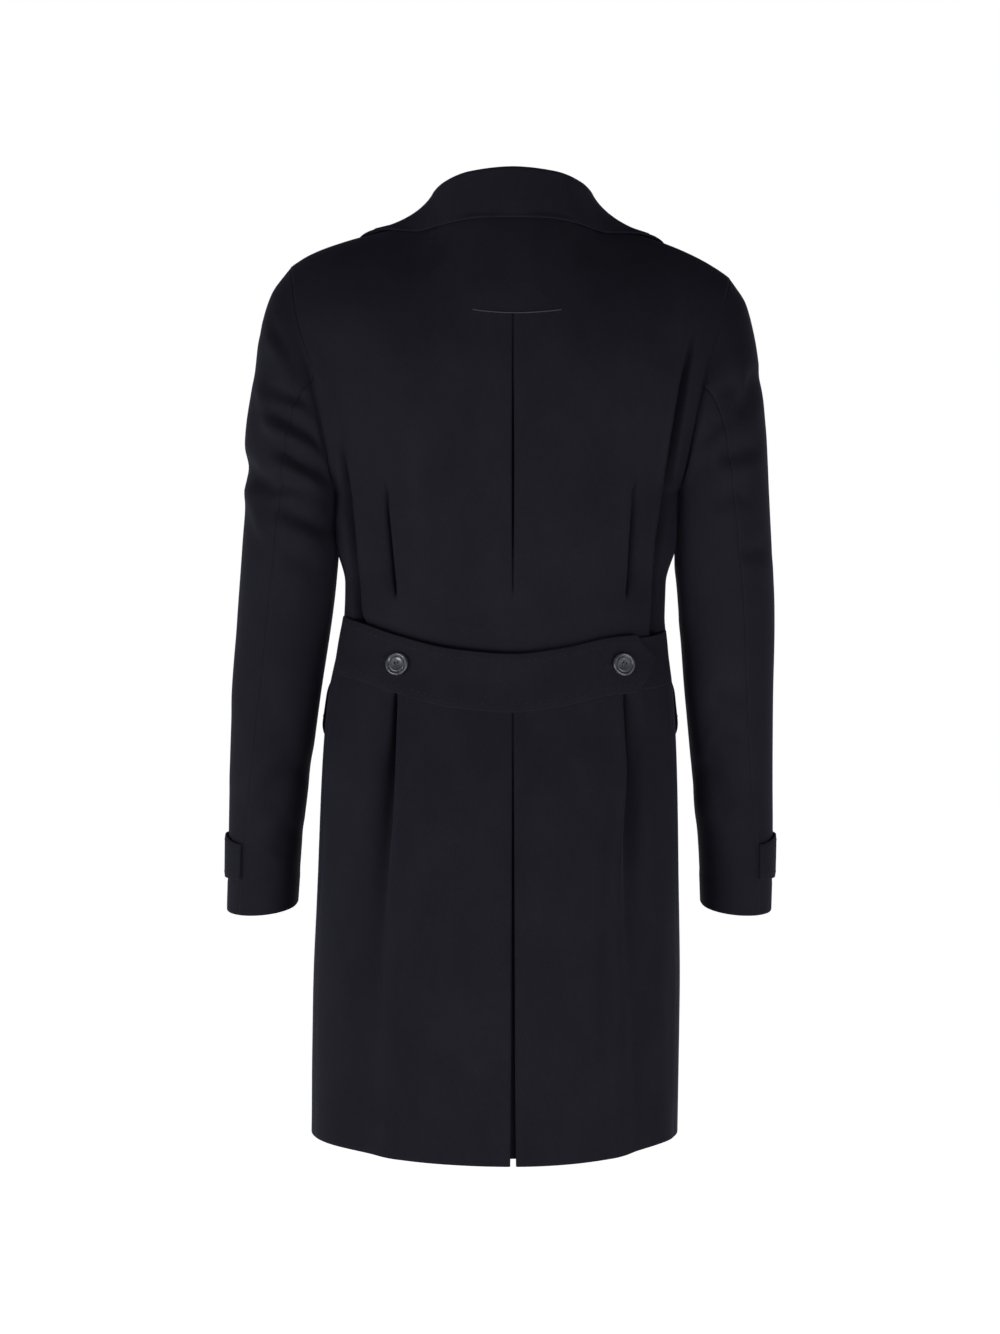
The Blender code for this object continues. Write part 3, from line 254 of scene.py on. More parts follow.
def horn(name):
    """Dyed horn: dark, polished, with cloudy streaks through it."""
    finish = Finish(name)
    streaks = finish.texture("ShaderNodeTexNoise", (1.0, 0.35, 0.5), scale=160.0, detail=6.0, distortion=1.8)
    scratches = finish.texture("ShaderNodeTexNoise", (1.0, 0.1, 1.0), scale=2600.0, detail=2.0)
    finish.colour(streaks, (0.008, 0.009, 0.012), (0.040, 0.043, 0.054))
    finish.roughness(scratches, 0.16, 0.34)
    finish.bumps((scratches, 0.05, 0.0001))
    set_inputs(finish.shader, {
        "IOR": 1.54, "Specular IOR Level": 0.34, "Coat Weight": 0.12, "Coat Roughness": 0.12,
    })
    return finish.material


def thread(name, dark, light):
    """Twisted silk: fine slanting bands and a soft shine."""
    finish = Finish(name)
    twist = finish.texture("ShaderNodeTexWave", (1.0, 1.0, 1.0), bands_direction="DIAGONAL",
                           scale=900.0, distortion=1.0)
    finish.colour(twist, dark, light)
    finish.roughness(twist, 0.45, 0.65)
    finish.bumps((twist, 0.3, 0.0002))
    set_inputs(finish.shader, {"Specular IOR Level": 0.08, "Sheen Weight": 0.03})
    return finish.material


NAVY_WOOL = wool("brushed_navy_wool", (0.0047, 0.0045, 0.0068), (0.0088, 0.0084, 0.0126), 0.045)
DARK_HORN = horn("polished_dark_horn")
NAVY_SILK = thread("navy_silk_thread", (0.014, 0.014, 0.019), (0.034, 0.034, 0.044))
FINE_SILK = thread("fine_dark_thread", (0.005, 0.005, 0.008), (0.010, 0.010, 0.014))
print("finishes:", ", ".join(m.name for m in (NAVY_WOOL, DARK_HORN, NAVY_SILK, FINE_SILK)))

# %% [markdown]
# ## Reading a shape from a short table
# A coat is described well by a few measures at a few heights. `smooth` draws a curve through such
# measures that never swings past them, and `Table` gives its columns names. `ease` is a soft step, used
# wherever something fades in or out.

# %% Tables and small curves
LEFT, RIGHT = 1, -1
SIDES = ((LEFT, "left"), (RIGHT, "right"))


def smooth(keys, values, at):
    """A curve through the values that never swings past them."""
    keys, values = np.asarray(keys, float), np.asarray(values, float)
    steps = np.diff(keys)
    slopes = np.diff(values) / steps
    turns = np.zeros_like(values)
    turns[0], turns[-1] = slopes[0], slopes[-1]
    one_way = slopes[:-1] * slopes[1:] > 0
    before, after = 2 * steps[1:] + steps[:-1], steps[1:] + 2 * steps[:-1]
    first, second = np.where(one_way, slopes[:-1], 1.0), np.where(one_way, slopes[1:], 1.0)
    turns[1:-1] = np.where(one_way, (before + after) / (before / first + after / second), 0.0)
    at = np.asarray(at, float)
    i = np.clip(np.searchsorted(keys, at) - 1, 0, len(steps) - 1)
    t = np.clip((at - keys[i]) / steps[i], 0.0, 1.0)
    rise = t * t * (3 - 2 * t)
    swing = t * (1 - t) ** 2 * turns[i] - t * t * (1 - t) * turns[i + 1]
    return values[i] * (1 - rise) + values[i + 1] * rise + swing * steps[i]


def ease(start, end, at):
    """0 before start, 1 after end, and a soft step between."""
    t = np.clip((np.asarray(at, float) - start) / (end - start), 0.0, 1.0)
    return t * t * (3 - 2 * t)


def bell(at, width):
    """1 at the middle, falling softly to 0 on both sides."""
    return np.exp(-((at / width) ** 2))


def finer_ends(margin, first, middle, last):
    """Shares from 0 to 1 that lie closer together near both ends."""
    start, end = np.linspace(0, margin, first), np.linspace(1 - margin, 1, last)
    return np.concatenate([start[:-1], np.linspace(margin, 1 - margin, middle), end[1:]])


class Table:
    """A short table with named columns. A column is read smoothly against the first one."""

    def __init__(self, names, rows):
        self.names = names.split()
        self.rows = np.array(rows, float)

    def at(self, name, key):
        return smooth(self.rows[:, 0], self.rows[:, self.names.index(name)], key)


def curve(a, b, c, d, count):
    """Points along a cubic curve from a to d, with b and c as its handles."""
    t = np.linspace(0, 1, count)[:, None]
    a, b, c, d = (np.asarray(p, float) for p in (a, b, c, d))
    return a * (1 - t) ** 3 + 3 * b * t * (1 - t) ** 2 + 3 * c * t * t * (1 - t) + d * t**3


def lengths(line):
    """How far along a line each of its points lies."""
    return np.concatenate([[0.0], np.cumsum(np.linalg.norm(np.diff(line, axis=0), axis=1))])


def read(line, along, at):
    """Points of a line at the given lengths along it."""
    return np.stack([np.interp(at, along, line[:, k]) for k in range(3)], axis=-1)


def spaced(line, count):
    """Points of a line at even steps along it."""
    along = lengths(line)
    return read(line, along, np.linspace(0, along[-1], count))


def unit(vectors):
    """Directions of length 1."""
    return vectors / np.linalg.norm(vectors, axis=-1, keepdims=True)


def blend(a, b, share):
    """From a to b by a share."""
    return a * (1 - share) + b * share


print("a soft step, read at five places:", ease(0, 1, np.linspace(0, 1, 5)).round(2))

# %% [markdown]
# ## The body of the coat
# Body pieces lie on two faces, back and front, that meet at the side seams, the armholes and the
# shoulder seams. Each face is a stack of fair lines from the centre to the side, and near the top these
# lines bend into the neck and shoulder seams. The sizes come first, as short tables, and the lines are
# drawn from them.

# %% Sizes of the body
CLOTH, DOUBLE_CLOTH = 0.0020, 0.0025
SEAM_GAP, LAY_GAP = 0.0001, 0.0007
HEM, HEM_CENTRE_DROP, HEM_SIDE_RISE = -0.982, 0.0055, 0.0085
HEM_BOW_FROM, WAIST = -0.80, -0.45  # the hem's bow fades in below the first
UNDERARM = -0.300
BACK_NECK, FRONT_NECK = -0.012, -0.085
NECK_HEIGHT = {"back": BACK_NECK, "front": FRONT_NECK}
NECK_HALF, NECK_POINT, NECK_BACK, NECK_FRONT = 0.082, -0.009, 0.064, 0.080
SHOULDER_HALF, SHOULDER_CROWN = 0.232, 0.0075
SHOULDER_TIP = {LEFT: -0.061, RIGHT: -0.073}
ARMHOLE_BACK, ARMHOLE_FRONT = 0.062, 0.058
SEAM_INSET, SEAM_TURN, UNDERARM_TURN = 0.0045, math.radians(14), 0.55  # the last is a share of the turn
NET_ROWS, NET_POINTS = 420, 97
BODY = Table("height half seam_back", [
    (-0.982, 0.1912, 0.050),
    (-0.830, 0.1915, 0.050),
    (-0.700, 0.1885, 0.050),
    (-0.600, 0.1860, 0.048),
    (-0.520, 0.1815, 0.045),
    (-0.460, 0.1725, 0.040),
    (-0.430, 0.1685, 0.037),
    (-0.395, 0.1695, 0.034),
    (-0.350, 0.1825, 0.028),
    (-0.300, 0.1855, 0.020),
])
CENTRE_BACK = Table("height out", [
    (-0.982, 0.150),
    (-0.830, 0.144),
    (-0.700, 0.136),
    (-0.600, 0.124),
    (-0.520, 0.108),
    (-0.455, 0.101),
    (-0.400, 0.106),
    (-0.300, 0.118),
    (-0.200, 0.119),
    (-0.120, 0.110),
    (-0.060, 0.091),
    (-0.030, 0.076),
    (BACK_NECK, NECK_BACK),
])
CENTRE_FRONT = Table("height out", [
    (-0.982, 0.168),
    (-0.700, 0.160),
    (-0.520, 0.154),
    (-0.400, 0.150),
    (-0.300, 0.152),
    (-0.220, 0.142),
    (-0.150, 0.118),
    (-0.110, 0.096),
    (FRONT_NECK, NECK_FRONT),
])
# The coat hangs a little towards the wearer's left
LEAN = Table("height shift", [
    (-0.982, 0.0190),
    (-0.700, 0.0150),
    (-0.520, 0.0125),
    (-0.400, 0.0075),
    (-0.300, 0.0060),
    (-0.130, 0.0050),
    (-0.060, 0.0020),
    (0.060, 0.0000),
])
# The armhole seam leans in from the shoulder to the underarm: share of its height, share of its reach
ARMHOLE = Table("up out", [(0.0, 0.0), (0.25, 0.18), (0.5, 0.40), (0.75, 0.76), (1.0, 1.0)])
print(f"the coat is {BACK_NECK - HEM:.2f} m long at the centre back")

# %% Lines of the body


def shift(height):
    """How far the coat hangs to the wearer's left."""
    return LEAN.at("shift", height)


def seam_half(height):
    """Half the width from one side seam to the other."""
    return BODY.at("half", height) - SEAM_INSET


def armhole(side, angle):
    """The armhole seam: angle 0 at the shoulder, a quarter turn at the back, a half turn under the arm."""
    angle = np.asarray(angle, float)
    up = (1 + np.cos(angle)) / 2
    x = blend(seam_half(UNDERARM), SHOULDER_HALF, ARMHOLE.at("out", up))
    z = blend(UNDERARM, SHOULDER_TIP[side], up)
    reach = np.where(np.sin(angle) > 0, ARMHOLE_BACK, ARMHOLE_FRONT)
    y = BODY.at("seam_back", UNDERARM) * (1 - up) + reach * np.sin(angle)
    return np.stack([side * x + shift(z), y, z], axis=-1)


def shoulder_way(side):
    """Direction of a shoulder seam, from the neck outwards."""
    return unit(armhole(side, 0.0) - np.array([side * NECK_HALF, 0.0, NECK_POINT]))


def top_line(face, side):
    """The top edge of one half: round the neck to the neck point, then along the shoulder seam."""
    out = NECK_BACK if face == "back" else -NECK_FRONT
    low = NECK_HEIGHT[face]
    neck_point = np.array([side * NECK_HALF, 0.0, NECK_POINT])
    start, lead = (0.0, out, low), (side * NECK_HALF * 0.6, out, low)
    arrive = (side * NECK_HALF, out * 0.56, blend(NECK_POINT, low, 0.3))
    neck = curve(start, lead, arrive, neck_point, NET_POINTS)
    share = np.linspace(0, 1, NET_POINTS)[1:, None]
    seam = blend(neck_point, armhole(side, 0.0), share)
    seam[:, 2:] += 6.75 * SHOULDER_CROWN * share**2 * (1 - share)
    line = np.concatenate([neck, seam])
    return line + np.array([0.0, SEAM_GAP / 2 if face == "back" else -SEAM_GAP / 2, 0.0])


def neck_distance(face, side):
    """How far round the neck its end on the shoulder lies."""
    return lengths(top_line(face, side)[:NET_POINTS])[-1]


def climb(face, height):
    """0 up to the underarm, 1 at the shoulder seam."""
    return np.clip((height - UNDERARM) / (NECK_HEIGHT[face] - UNDERARM), 0.0, 1.0)


def plain_row(face, side, height):
    """A fair line from the centre to the side seam or armhole at one height."""
    up = float(climb(face, height))
    back = face == "back"
    out = CENTRE_BACK.at("out", height) if back else -CENTRE_FRONT.at("out", height)
    bow = ease(HEM_BOW_FROM, HEM, height)
    level = height - HEM_CENTRE_DROP * bow if back else height
    centre = np.array([0.0 if back else float(shift(height)) * (1 - up), float(out), level])
    if up > 0:
        edge = armhole(side, math.pi * (1 - up) * (1 if back else -1))
    else:
        x, level = side * seam_half(height) + shift(height), height + HEM_SIDE_RISE * bow
        edge = np.array([x, BODY.at("seam_back", height), level])
    turn = blend(SEAM_TURN * UNDERARM_TURN, SEAM_TURN, ease(UNDERARM, WAIST, height))
    round_side = np.array([side * math.sin(turn), -math.cos(turn), 0.0]) * (1 if back else -1)
    arrive = unit(blend(round_side, shoulder_way(side), up**0.8))
    depth = abs(edge[1] - centre[1])
    reach = blend(0.60 * depth, 0.33 * np.linalg.norm(edge - centre), up)
    lead = centre + np.array([(edge[0] - centre[0]) * blend(0.60, 0.36, up), 0.0, 0.0])
    return spaced(curve(centre, lead, edge - arrive * reach, edge, NET_POINTS), NET_POINTS)


print(f"the left armhole is {SHOULDER_TIP[LEFT] - UNDERARM:.3f} m deep")

# %% [markdown]
# ## The two faces as nets
# Each face is worked out once as a fine net of points. After that it is quick to ask for any place on
# it by its distance round the body and its height, and for the direction straight out of the cloth
# there. The corners at the neck and under the arms are softened first, because thick wool doesn't turn
# sharply.

# %% The two faces
NECK_SOFTNESS = 26  # points over which the corner of the neck is rounded lower down
UNDERARM_SOFTNESS = 20  # rows over which the corner of the underarm is rounded
UNDERARM_SPREAD = 0.06  # and how far above and below the underarm
UNDERARM_INNER = 0.72  # it isn't rounded at the seam, only inside this share of the way to it
NECK_BEND_FROM, NECK_CRISP_FROM = 0.45, 0.86  # by climb: the lines start to bend, and the corner sharpens
SEAM_CLIMB, NEAR_NECK = 0.985, 0.0015  # by climb, and a distance: what counts as on the shoulder seam


def softened(line, width):
    """A line with its corners rounded off; its two ends stay where they are."""
    before, after = 2 * line[0] - line[width:0:-1], 2 * line[-1] - line[-2 : -width - 2 : -1]
    padded = np.concatenate([before, line, after])
    window = np.hanning(2 * width + 1)
    return np.stack([np.convolve(padded[:, k], window / window.sum(), "valid") for k in range(3)], axis=-1)


class Face:
    """The back or the front as a fine net of points, read at a distance from the centre and a height."""

    def __init__(self, face):
        self.face = face
        self.heights = np.linspace(HEM, NECK_HEIGHT[face], NET_ROWS)
        halves, self.reach = {}, {}
        for side in (LEFT, RIGHT):
            bend = spaced(top_line(face, side), NET_POINTS) - plain_row(face, side, NECK_HEIGHT[face])
            soft = softened(bend, NECK_SOFTNESS)
            rows = []
            for height in self.heights:
                up = climb(face, height)
                near = blend(soft, bend, ease(NECK_CRISP_FROM, 1.0, up))
                rows.append(plain_row(face, side, height) + near * ease(NECK_BEND_FROM, 1.0, up))
            self.reach[side] = np.array([lengths(row)[-1] for row in rows])
            rows = np.array([spaced(row, NET_POINTS) for row in rows])
            calm = np.stack([softened(rows[:, k], UNDERARM_SOFTNESS) for k in range(NET_POINTS)], axis=1)
            inner = 1 - ease(UNDERARM_INNER, 1.0, np.linspace(0, 1, NET_POINTS))
            near = bell(self.heights - UNDERARM, UNDERARM_SPREAD)
            halves[side] = blend(rows, calm, (near[:, None] * inner)[..., None])
        self.net = np.concatenate([halves[RIGHT][:, ::-1], halves[LEFT][:, 1:]], axis=1)

    def end(self, side, height):
        """Distance of the side seam or armhole from the centre, positive on both sides."""
        return np.interp(height, self.heights, self.reach[side])

    def room(self, distance, height):
        """The end on the side that each place lies on."""
        return np.where(distance > 0, self.end(LEFT, height), self.end(RIGHT, height))

    def read(self, share, height):
        """Points by share of the way to the side, from -1 on the right to 1 on the left."""
        rows, columns = self.net.shape[:2]
        row = np.clip((height - self.heights[0]) / (self.heights[-1] - self.heights[0]), 0, 1) * (rows - 1)
        column = np.clip((share + 1) / 2, 0, 1) * (columns - 1)
        i, j = np.minimum(row.astype(int), rows - 2), np.minimum(column.astype(int), columns - 2)
        up, over = (row - i)[..., None], (column - j)[..., None]
        low = blend(self.net[i, j], self.net[i, j + 1], over)
        high = blend(self.net[i + 1, j], self.net[i + 1, j + 1], over)
        return blend(low, high, up)

    def at(self, distance, height):
        return self.read(distance / self.room(distance, height), height)

    def outward(self, distance, height):
        """Directions straight out of the cloth; on a shoulder seam they stand square to the seam."""
        share, step, rise = distance / self.room(distance, height), 0.012, 0.0026
        across = self.read(share + step, height) - self.read(share - step, height)
        along = self.read(share, height + rise) - self.read(share, height - rise)
        way = unit(np.cross(along, across) * (1 if self.face == "back" else -1))
        near_top = ease(SEAM_CLIMB, 1.0, climb(self.face, height))
        for side in (LEFT, RIGHT):
            seam = shoulder_way(side)
            square = side * np.array([-seam[2], 0.0, seam[0]])
            on_seam = near_top * (distance * side > neck_distance(self.face, side) - NEAR_NECK)
            way = unit(blend(way, square, on_seam[..., None]))
        return way

    def laid_on(self, distance, height, off):
        """Points moved straight out of the cloth, and the directions out of it."""
        distance, height, off = np.broadcast_arrays(*(np.asarray(v, float) for v in (distance, height, off)))
        way = self.outward(distance, height)
        return self.at(distance, height) + way * off[..., None], way


BACK, FRONT = Face("back"), Face("front")
print(f"half the girth at the hem: back {BACK.end(LEFT, HEM):.3f} m, front {FRONT.end(LEFT, HEM):.3f} m")

# %% [markdown]
# ## Folds
# Wool this thick does not crumple. It bends into a few soft troughs, each with the cloth pushed up
# beside it, so a fold is a path with a depth, a width and a ridge. The paths are given in metres
# across and up, as one sees them on the coat.

# %% Folds
DRIFT = 0.0008  # how far hanging cloth strays from its form
FOLD_FADE = 0.30  # share of a fold's length over which it fades, at each end
RIDGE_AWAY, RIDGE_WIDTH = 1.7, 1.1  # the ridge beside a fold, in widths of the fold


def crease(across, up, path, depth, width, ridge):
    """A soft trough along a path, fading at both ends, with a ridge on the left hand of the path."""
    path = np.asarray(path, float)
    legs = np.diff(path, axis=0)
    sizes = np.linalg.norm(legs, axis=1)
    nearest, beside, along = np.full(across.shape, np.inf), np.zeros(across.shape), np.zeros(across.shape)
    walked = 0.0
    for start, leg, size in zip(path, legs, sizes):
        share = np.clip(((across - start[0]) * leg[0] + (up - start[1]) * leg[1]) / size**2, 0, 1)
        right, high = across - start[0] - share * leg[0], up - start[1] - share * leg[1]
        far = np.hypot(right, high)
        closer = far < nearest
        nearest = np.where(closer, far, nearest)
        beside = np.where(closer, np.sign(leg[0] * high - leg[1] * right) * far, beside)
        along = np.where(closer, (walked + share * size) / sizes.sum(), along)
        walked += size
    fade = ease(0.0, FOLD_FADE, along) * (1 - ease(1 - FOLD_FADE, 1.0, along))
    hollow = bell(beside, width)
    crest = ridge * bell(beside - RIDGE_AWAY * width, RIDGE_WIDTH * width)
    return depth * (crest - hollow) * fade


def drift(points):
    """The slow unevenness of cloth that hangs: a few long waves, the same on each run."""
    x, y, z = points[..., 0], points[..., 1], points[..., 2]
    waves = np.sin(31 * x + 9 * z + 1.3) + np.sin(-17 * x + 23 * z + 12 * y + 0.4)
    return DRIFT * (waves + np.sin(52 * x - 6 * z + 2.1)) / 3


probe = np.linspace(-0.02, 0.02, 5)
across_fold = crease(probe, 0 * probe, [(0.0, -1.0), (0.0, 1.0)], 0.003, 0.010, 0.4)
print("a fold 3 mm deep, read across it in mm:", (1000 * across_fold).round(1))

# %% [markdown]
# ## Closing a sheet into a wall
# Cloth has two skins. A sheet of points is moved half the thickness to both sides, and a rim joins the
# skins round every free edge. The rim of a turned edge is rounded by a narrow bevel. A sewn edge stays
# square, so that it meets its neighbour closely. `dress` then hangs the piece on the root body, hides
# the frame's solid that it stands for, and prints how many faces and how much cloth it has.

# %% Walls of cloth
RIM_ROUND = 0.0008


def grid_faces(number):
    """Quads between the neighbours of a table of point numbers."""
    number = np.asarray(number)
    corners = [number[:-1, :-1], number[:-1, 1:], number[1:, 1:], number[1:, :-1]]
    return np.stack(corners, axis=-1).reshape(-1, 4)


def face_out(mesh):
    """Turns the faces of closed forms outwards."""
    shape = bmesh.new()
    shape.from_mesh(mesh)
    bmesh.ops.recalc_face_normals(shape, faces=shape.faces[:])
    shape.to_mesh(mesh)
    shape.free()


def wall(name, points, ways, faces, thickness, sewn):
    """Closes a sheet into a wall of two skins with a rim, rounded wherever the edge isn't sewn."""
    count = len(points)
    faces = np.asarray(faces)
    heads, tails = faces.ravel(), np.roll(faces, -1, axis=1).ravel()
    free = ~np.isin(heads * count + tails, tails * count + heads)
    a, b = heads[free], tails[free]
    rim = np.stack([b, a, a + count, b + count], axis=-1)
    skins = np.concatenate([points + ways * thickness / 2, points - ways * thickness / 2])
    mesh = bpy.data.meshes.new(name)
    mesh.from_pydata(skins.tolist(), [], np.concatenate([faces, faces[:, ::-1] + count, rim]).tolist())
    face_out(mesh)
    ends = np.zeros(len(mesh.edges) * 2, int)
    mesh.edges.foreach_get("vertices", ends)
    low, high = ends.reshape(-1, 2).min(axis=1), ends.reshape(-1, 2).max(axis=1)
    turned = ~(sewn[a] & sewn[b])
    first, last = np.minimum(a, b)[turned], np.maximum(a, b)[turned]
    total = 2 * count
    rims = np.concatenate([first * total + last, (first + count) * total + last + count])
    weight = mesh.attributes.new("bevel_weight_edge", "FLOAT", "EDGE")
    weight.data.foreach_set("value", np.isin(low * total + high, rims).astype(np.float32))
    mesh.shade_smooth()
    mesh.materials.append(NAVY_WOOL)
    piece = add_object(name, mesh)
    rounded = piece.modifiers.new("turned_edge", "BEVEL")
    rounded.limit_method = "WEIGHT"
    rounded.width = RIM_ROUND
    rounded.segments = 2
    rounded.use_clamp_overlap = False
    return piece


EDGES = {
    "first_row": np.s_[0, :],
    "last_row": np.s_[-1, :],
    "first_column": np.s_[:, 0],
    "last_column": np.s_[:, -1],
}


def grid_wall(name, points, ways, thickness, *sewn_edges):
    """A wall from a grid of points; the named edges are sewn to something, and the others are turned."""
    number = np.arange(points.shape[0] * points.shape[1]).reshape(points.shape[:2])
    sewn = np.zeros(points.shape[:2], bool)
    for edge in sewn_edges:
        sewn[EDGES[edge]] = True
    points, ways = points.reshape(-1, 3), ways.reshape(-1, 3)
    return wall(name, points, ways, grid_faces(number), thickness, sewn.ravel())


def skin_area(piece):
    """Area of one skin of a wall."""
    sizes = np.zeros(len(piece.data.polygons))
    piece.data.polygons.foreach_get("area", sizes)
    return float(sizes.sum() / 2)


def dress(piece, cad_node, flat, area, held, rests_on):
    """Hangs a piece on the root body, hides the frame's solid that it stands for, and prints its faces and
    cloth.
    """
    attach(piece, "root")
    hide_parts(cad_node)
    flat = tuple(round(size, 3) for size in flat)
    print(f"{piece.name}: {len(piece.data.polygons)} faces, {skin_area(piece):.4f} m2 of cloth")


print(f"turned edges are rounded by {1000 * RIM_ROUND:.1f} mm")

# %% [markdown]
# ## The back
# The back is one wide piece. A sewn bar ends the inverted pleat down its centre: below the bar the
# cloth is folded in on both sides and the folds meet. Two more pleats beside the centre panel are
# closed by the half belt and open above and below it. A pleat is a step in the cloth: the panel ends in
# a fold, and the side goes on a little deeper. So the rows have many points at each fold and few on the
# plain stretches.

# %% Sizes of the back
PLEAT_TOP, PLEAT_FOLD, PLEAT_DEPTH = -0.123, 0.0013, 0.043
HEM_TURN, HEM_STAND = 0.040, 0.0005  # depth of the turned-up hem, and how far it stands out
HEM_STEP = (HEM_TURN - 0.004, HEM_TURN + 0.003)  # it fades between these heights over the edge
SEAM_DIP, SEAM_DIP_WIDTH = 0.0003, 0.0022
SEAM_FADE = (0.002, 0.022)  # folds die out towards a seam between these distances
PLEAT_GAP = Table("height gap", [
    (-0.982, 0.0056),
    (-0.900, 0.0042),
    (-0.750, 0.0030),
    (-0.600, 0.0015),
    (-0.530, 0.0005),
    (-0.420, 0.0005),
    (-0.300, 0.0025),
    (-0.200, 0.0015),
    (PLEAT_TOP, 0.0004),
])
# The side pleats: where the fold lies, how deep the cloth goes on beside it and how far, how wide the
# drop is, and the depth and width of the dark cleft beside the fold
SIDE_PLEAT = Table("height left right depth reach step cleft wide", [
    (-0.982, 0.126, 0.110, 0.0060, 0.060, 0.0300, 0.0000, 0.0140),
    (-0.800, 0.124, 0.106, 0.0090, 0.046, 0.0220, 0.0010, 0.0140),
    (-0.700, 0.123, 0.110, 0.0130, 0.036, 0.0160, 0.0030, 0.0120),
    (-0.640, 0.122, 0.115, 0.0150, 0.032, 0.0110, 0.0050, 0.0100),
    (-0.590, 0.121, 0.1185, 0.0140, 0.030, 0.0060, 0.0070, 0.0070),
    (-0.550, 0.120, 0.1165, 0.0095, 0.034, 0.0030, 0.0090, 0.0040),
    (-0.515, 0.119, 0.115, 0.0050, 0.022, 0.0022, 0.0070, 0.0026),
    (-0.500, 0.119, 0.115, 0.0000, 0.022, 0.0022, 0.0000, 0.0020),
    (-0.414, 0.120, 0.118, 0.0000, 0.010, 0.0020, 0.0000, 0.0012),
    (-0.404, 0.121, 0.119, 0.0030, 0.014, 0.0020, 0.0070, 0.0020),
    (-0.385, 0.123, 0.121, 0.0055, 0.024, 0.0022, 0.0110, 0.0034),
    (-0.350, 0.127, 0.123, 0.0050, 0.034, 0.0026, 0.0090, 0.0034),
    (-0.310, 0.131, 0.126, 0.0025, 0.042, 0.0034, 0.0040, 0.0032),
    (-0.262, 0.134, 0.128, 0.0000, 0.050, 0.0050, 0.0000, 0.0032),
    (-0.008, 0.140, 0.140, 0.0000, 0.050, 0.0050, 0.0000, 0.0032),
])
BELT = Table("distance height off", [
    (-0.240, -0.455, 0.0068),
    (-0.150, -0.479, 0.0068),
    (-0.100, -0.484, 0.0066),
    (-0.050, -0.495, 0.0052),
    (0.000, -0.501, 0.0042),
    (0.060, -0.496, 0.0036),
    (0.118, -0.482, 0.0034),
    (0.160, -0.469, 0.0034),
    (0.240, -0.452, 0.0034),
])
BELT_HALF_WIDTH = 0.030
BLOUSE_OVER, BLOUSE_HEIGHT, BLOUSE_SPREAD = 0.0020, 0.026, 0.015  # the back bags over the belt's top edge
BLOUSE_SIDES = (0.13, 0.17)  # it no longer does beyond these distances
TUCK_DEPTH, TUCK_SPREAD, TUCK_ABOVE = 0.0050, 0.0050, 0.001  # it dips in over the belt, most on the left
TUCK_FROM, TUCK_TO = (-0.16, 0.10), (0.165, 0.20)
BELT_HOLD = 0.006  # the belt holds the cloth flat, to this far past its edges
PLEAT_SWELL, PLEAT_SWELL_WIDTH = 0.10, 0.004  # the fold of a side pleat swells by this share of its depth
PLEAT_SEWN = (-0.402, -0.420, -0.516, -0.531)  # the centre pleat closes, stays closed, and opens again
BACK_FOLDS = [
    # path of (x, z), depth, width, ridge
    ([(-0.190, -0.112), (-0.180, -0.170), (-0.166, -0.256), (-0.152, -0.353), (-0.147, -0.430),
      (-0.146, -0.500)], 0.0200, 0.0037, 0.12),
    ([(0.182, -0.230), (0.174, -0.290), (0.167, -0.350), (0.161, -0.425),
      (0.156, -0.510)], 0.0150, 0.0032, 0.12),
    ([(0.196, -0.130), (0.188, -0.205), (0.178, -0.290)], 0.0042, 0.011, 0.30),
    ([(0.150, -0.300), (0.140, -0.350), (0.132, -0.400)], 0.0016, 0.014, 0.5),
    ([(-0.112, -0.300), (-0.110, -0.350), (-0.112, -0.400)], 0.0016, 0.014, 0.5),
    ([(0.152, -0.535), (0.160, -0.620), (0.163, -0.740)], 0.0030, 0.018, 0.4),
    ([(-0.140, -0.470), (-0.147, -0.560), (-0.149, -0.640), (-0.146, -0.860)], 0.0050, 0.0115, 0.0),
    ([(-0.098, -0.920), (-0.100, -0.780), (-0.104, -0.680), (-0.113, -0.590)], 0.0045, 0.011, 0.5),
    ([(0.078, -0.640), (0.072, -0.780), (0.070, -0.960)], 0.0036, 0.024, 0.6),
    ([(-0.060, -0.620), (-0.056, -0.780), (-0.052, -0.960)], 0.0036, 0.022, 0.6),
    ([(-0.150, -0.760), (-0.152, -0.860), (-0.150, -0.975)], 0.0030, 0.022, 0.5),
]
print(f"the back has {len(BACK_FOLDS)} soft folds")

# %% [markdown]
# ## Relief of the back
# All that stands out of the bare face, or sinks into it, is added up as one relief: the slow
# unevenness, the hem, the pleats, the folds and the blouse over the belt. It dies out at the seams, so
# the pieces still meet there.

# %% Relief of the back
# fine columns past the drop of a pleat
COLUMNS_BEYOND = np.array([0.0008, 0.0017, 0.0027, 0.0039, 0.0055, 0.0075])
PANEL_SHORT, FOLD_LEAD, PLAIN_FROM = 0.006, 0.004, 0.0025


def seam_dip(room):
    """The cloth draws in a little along a seam."""
    return -SEAM_DIP * bell(room, SEAM_DIP_WIDTH)


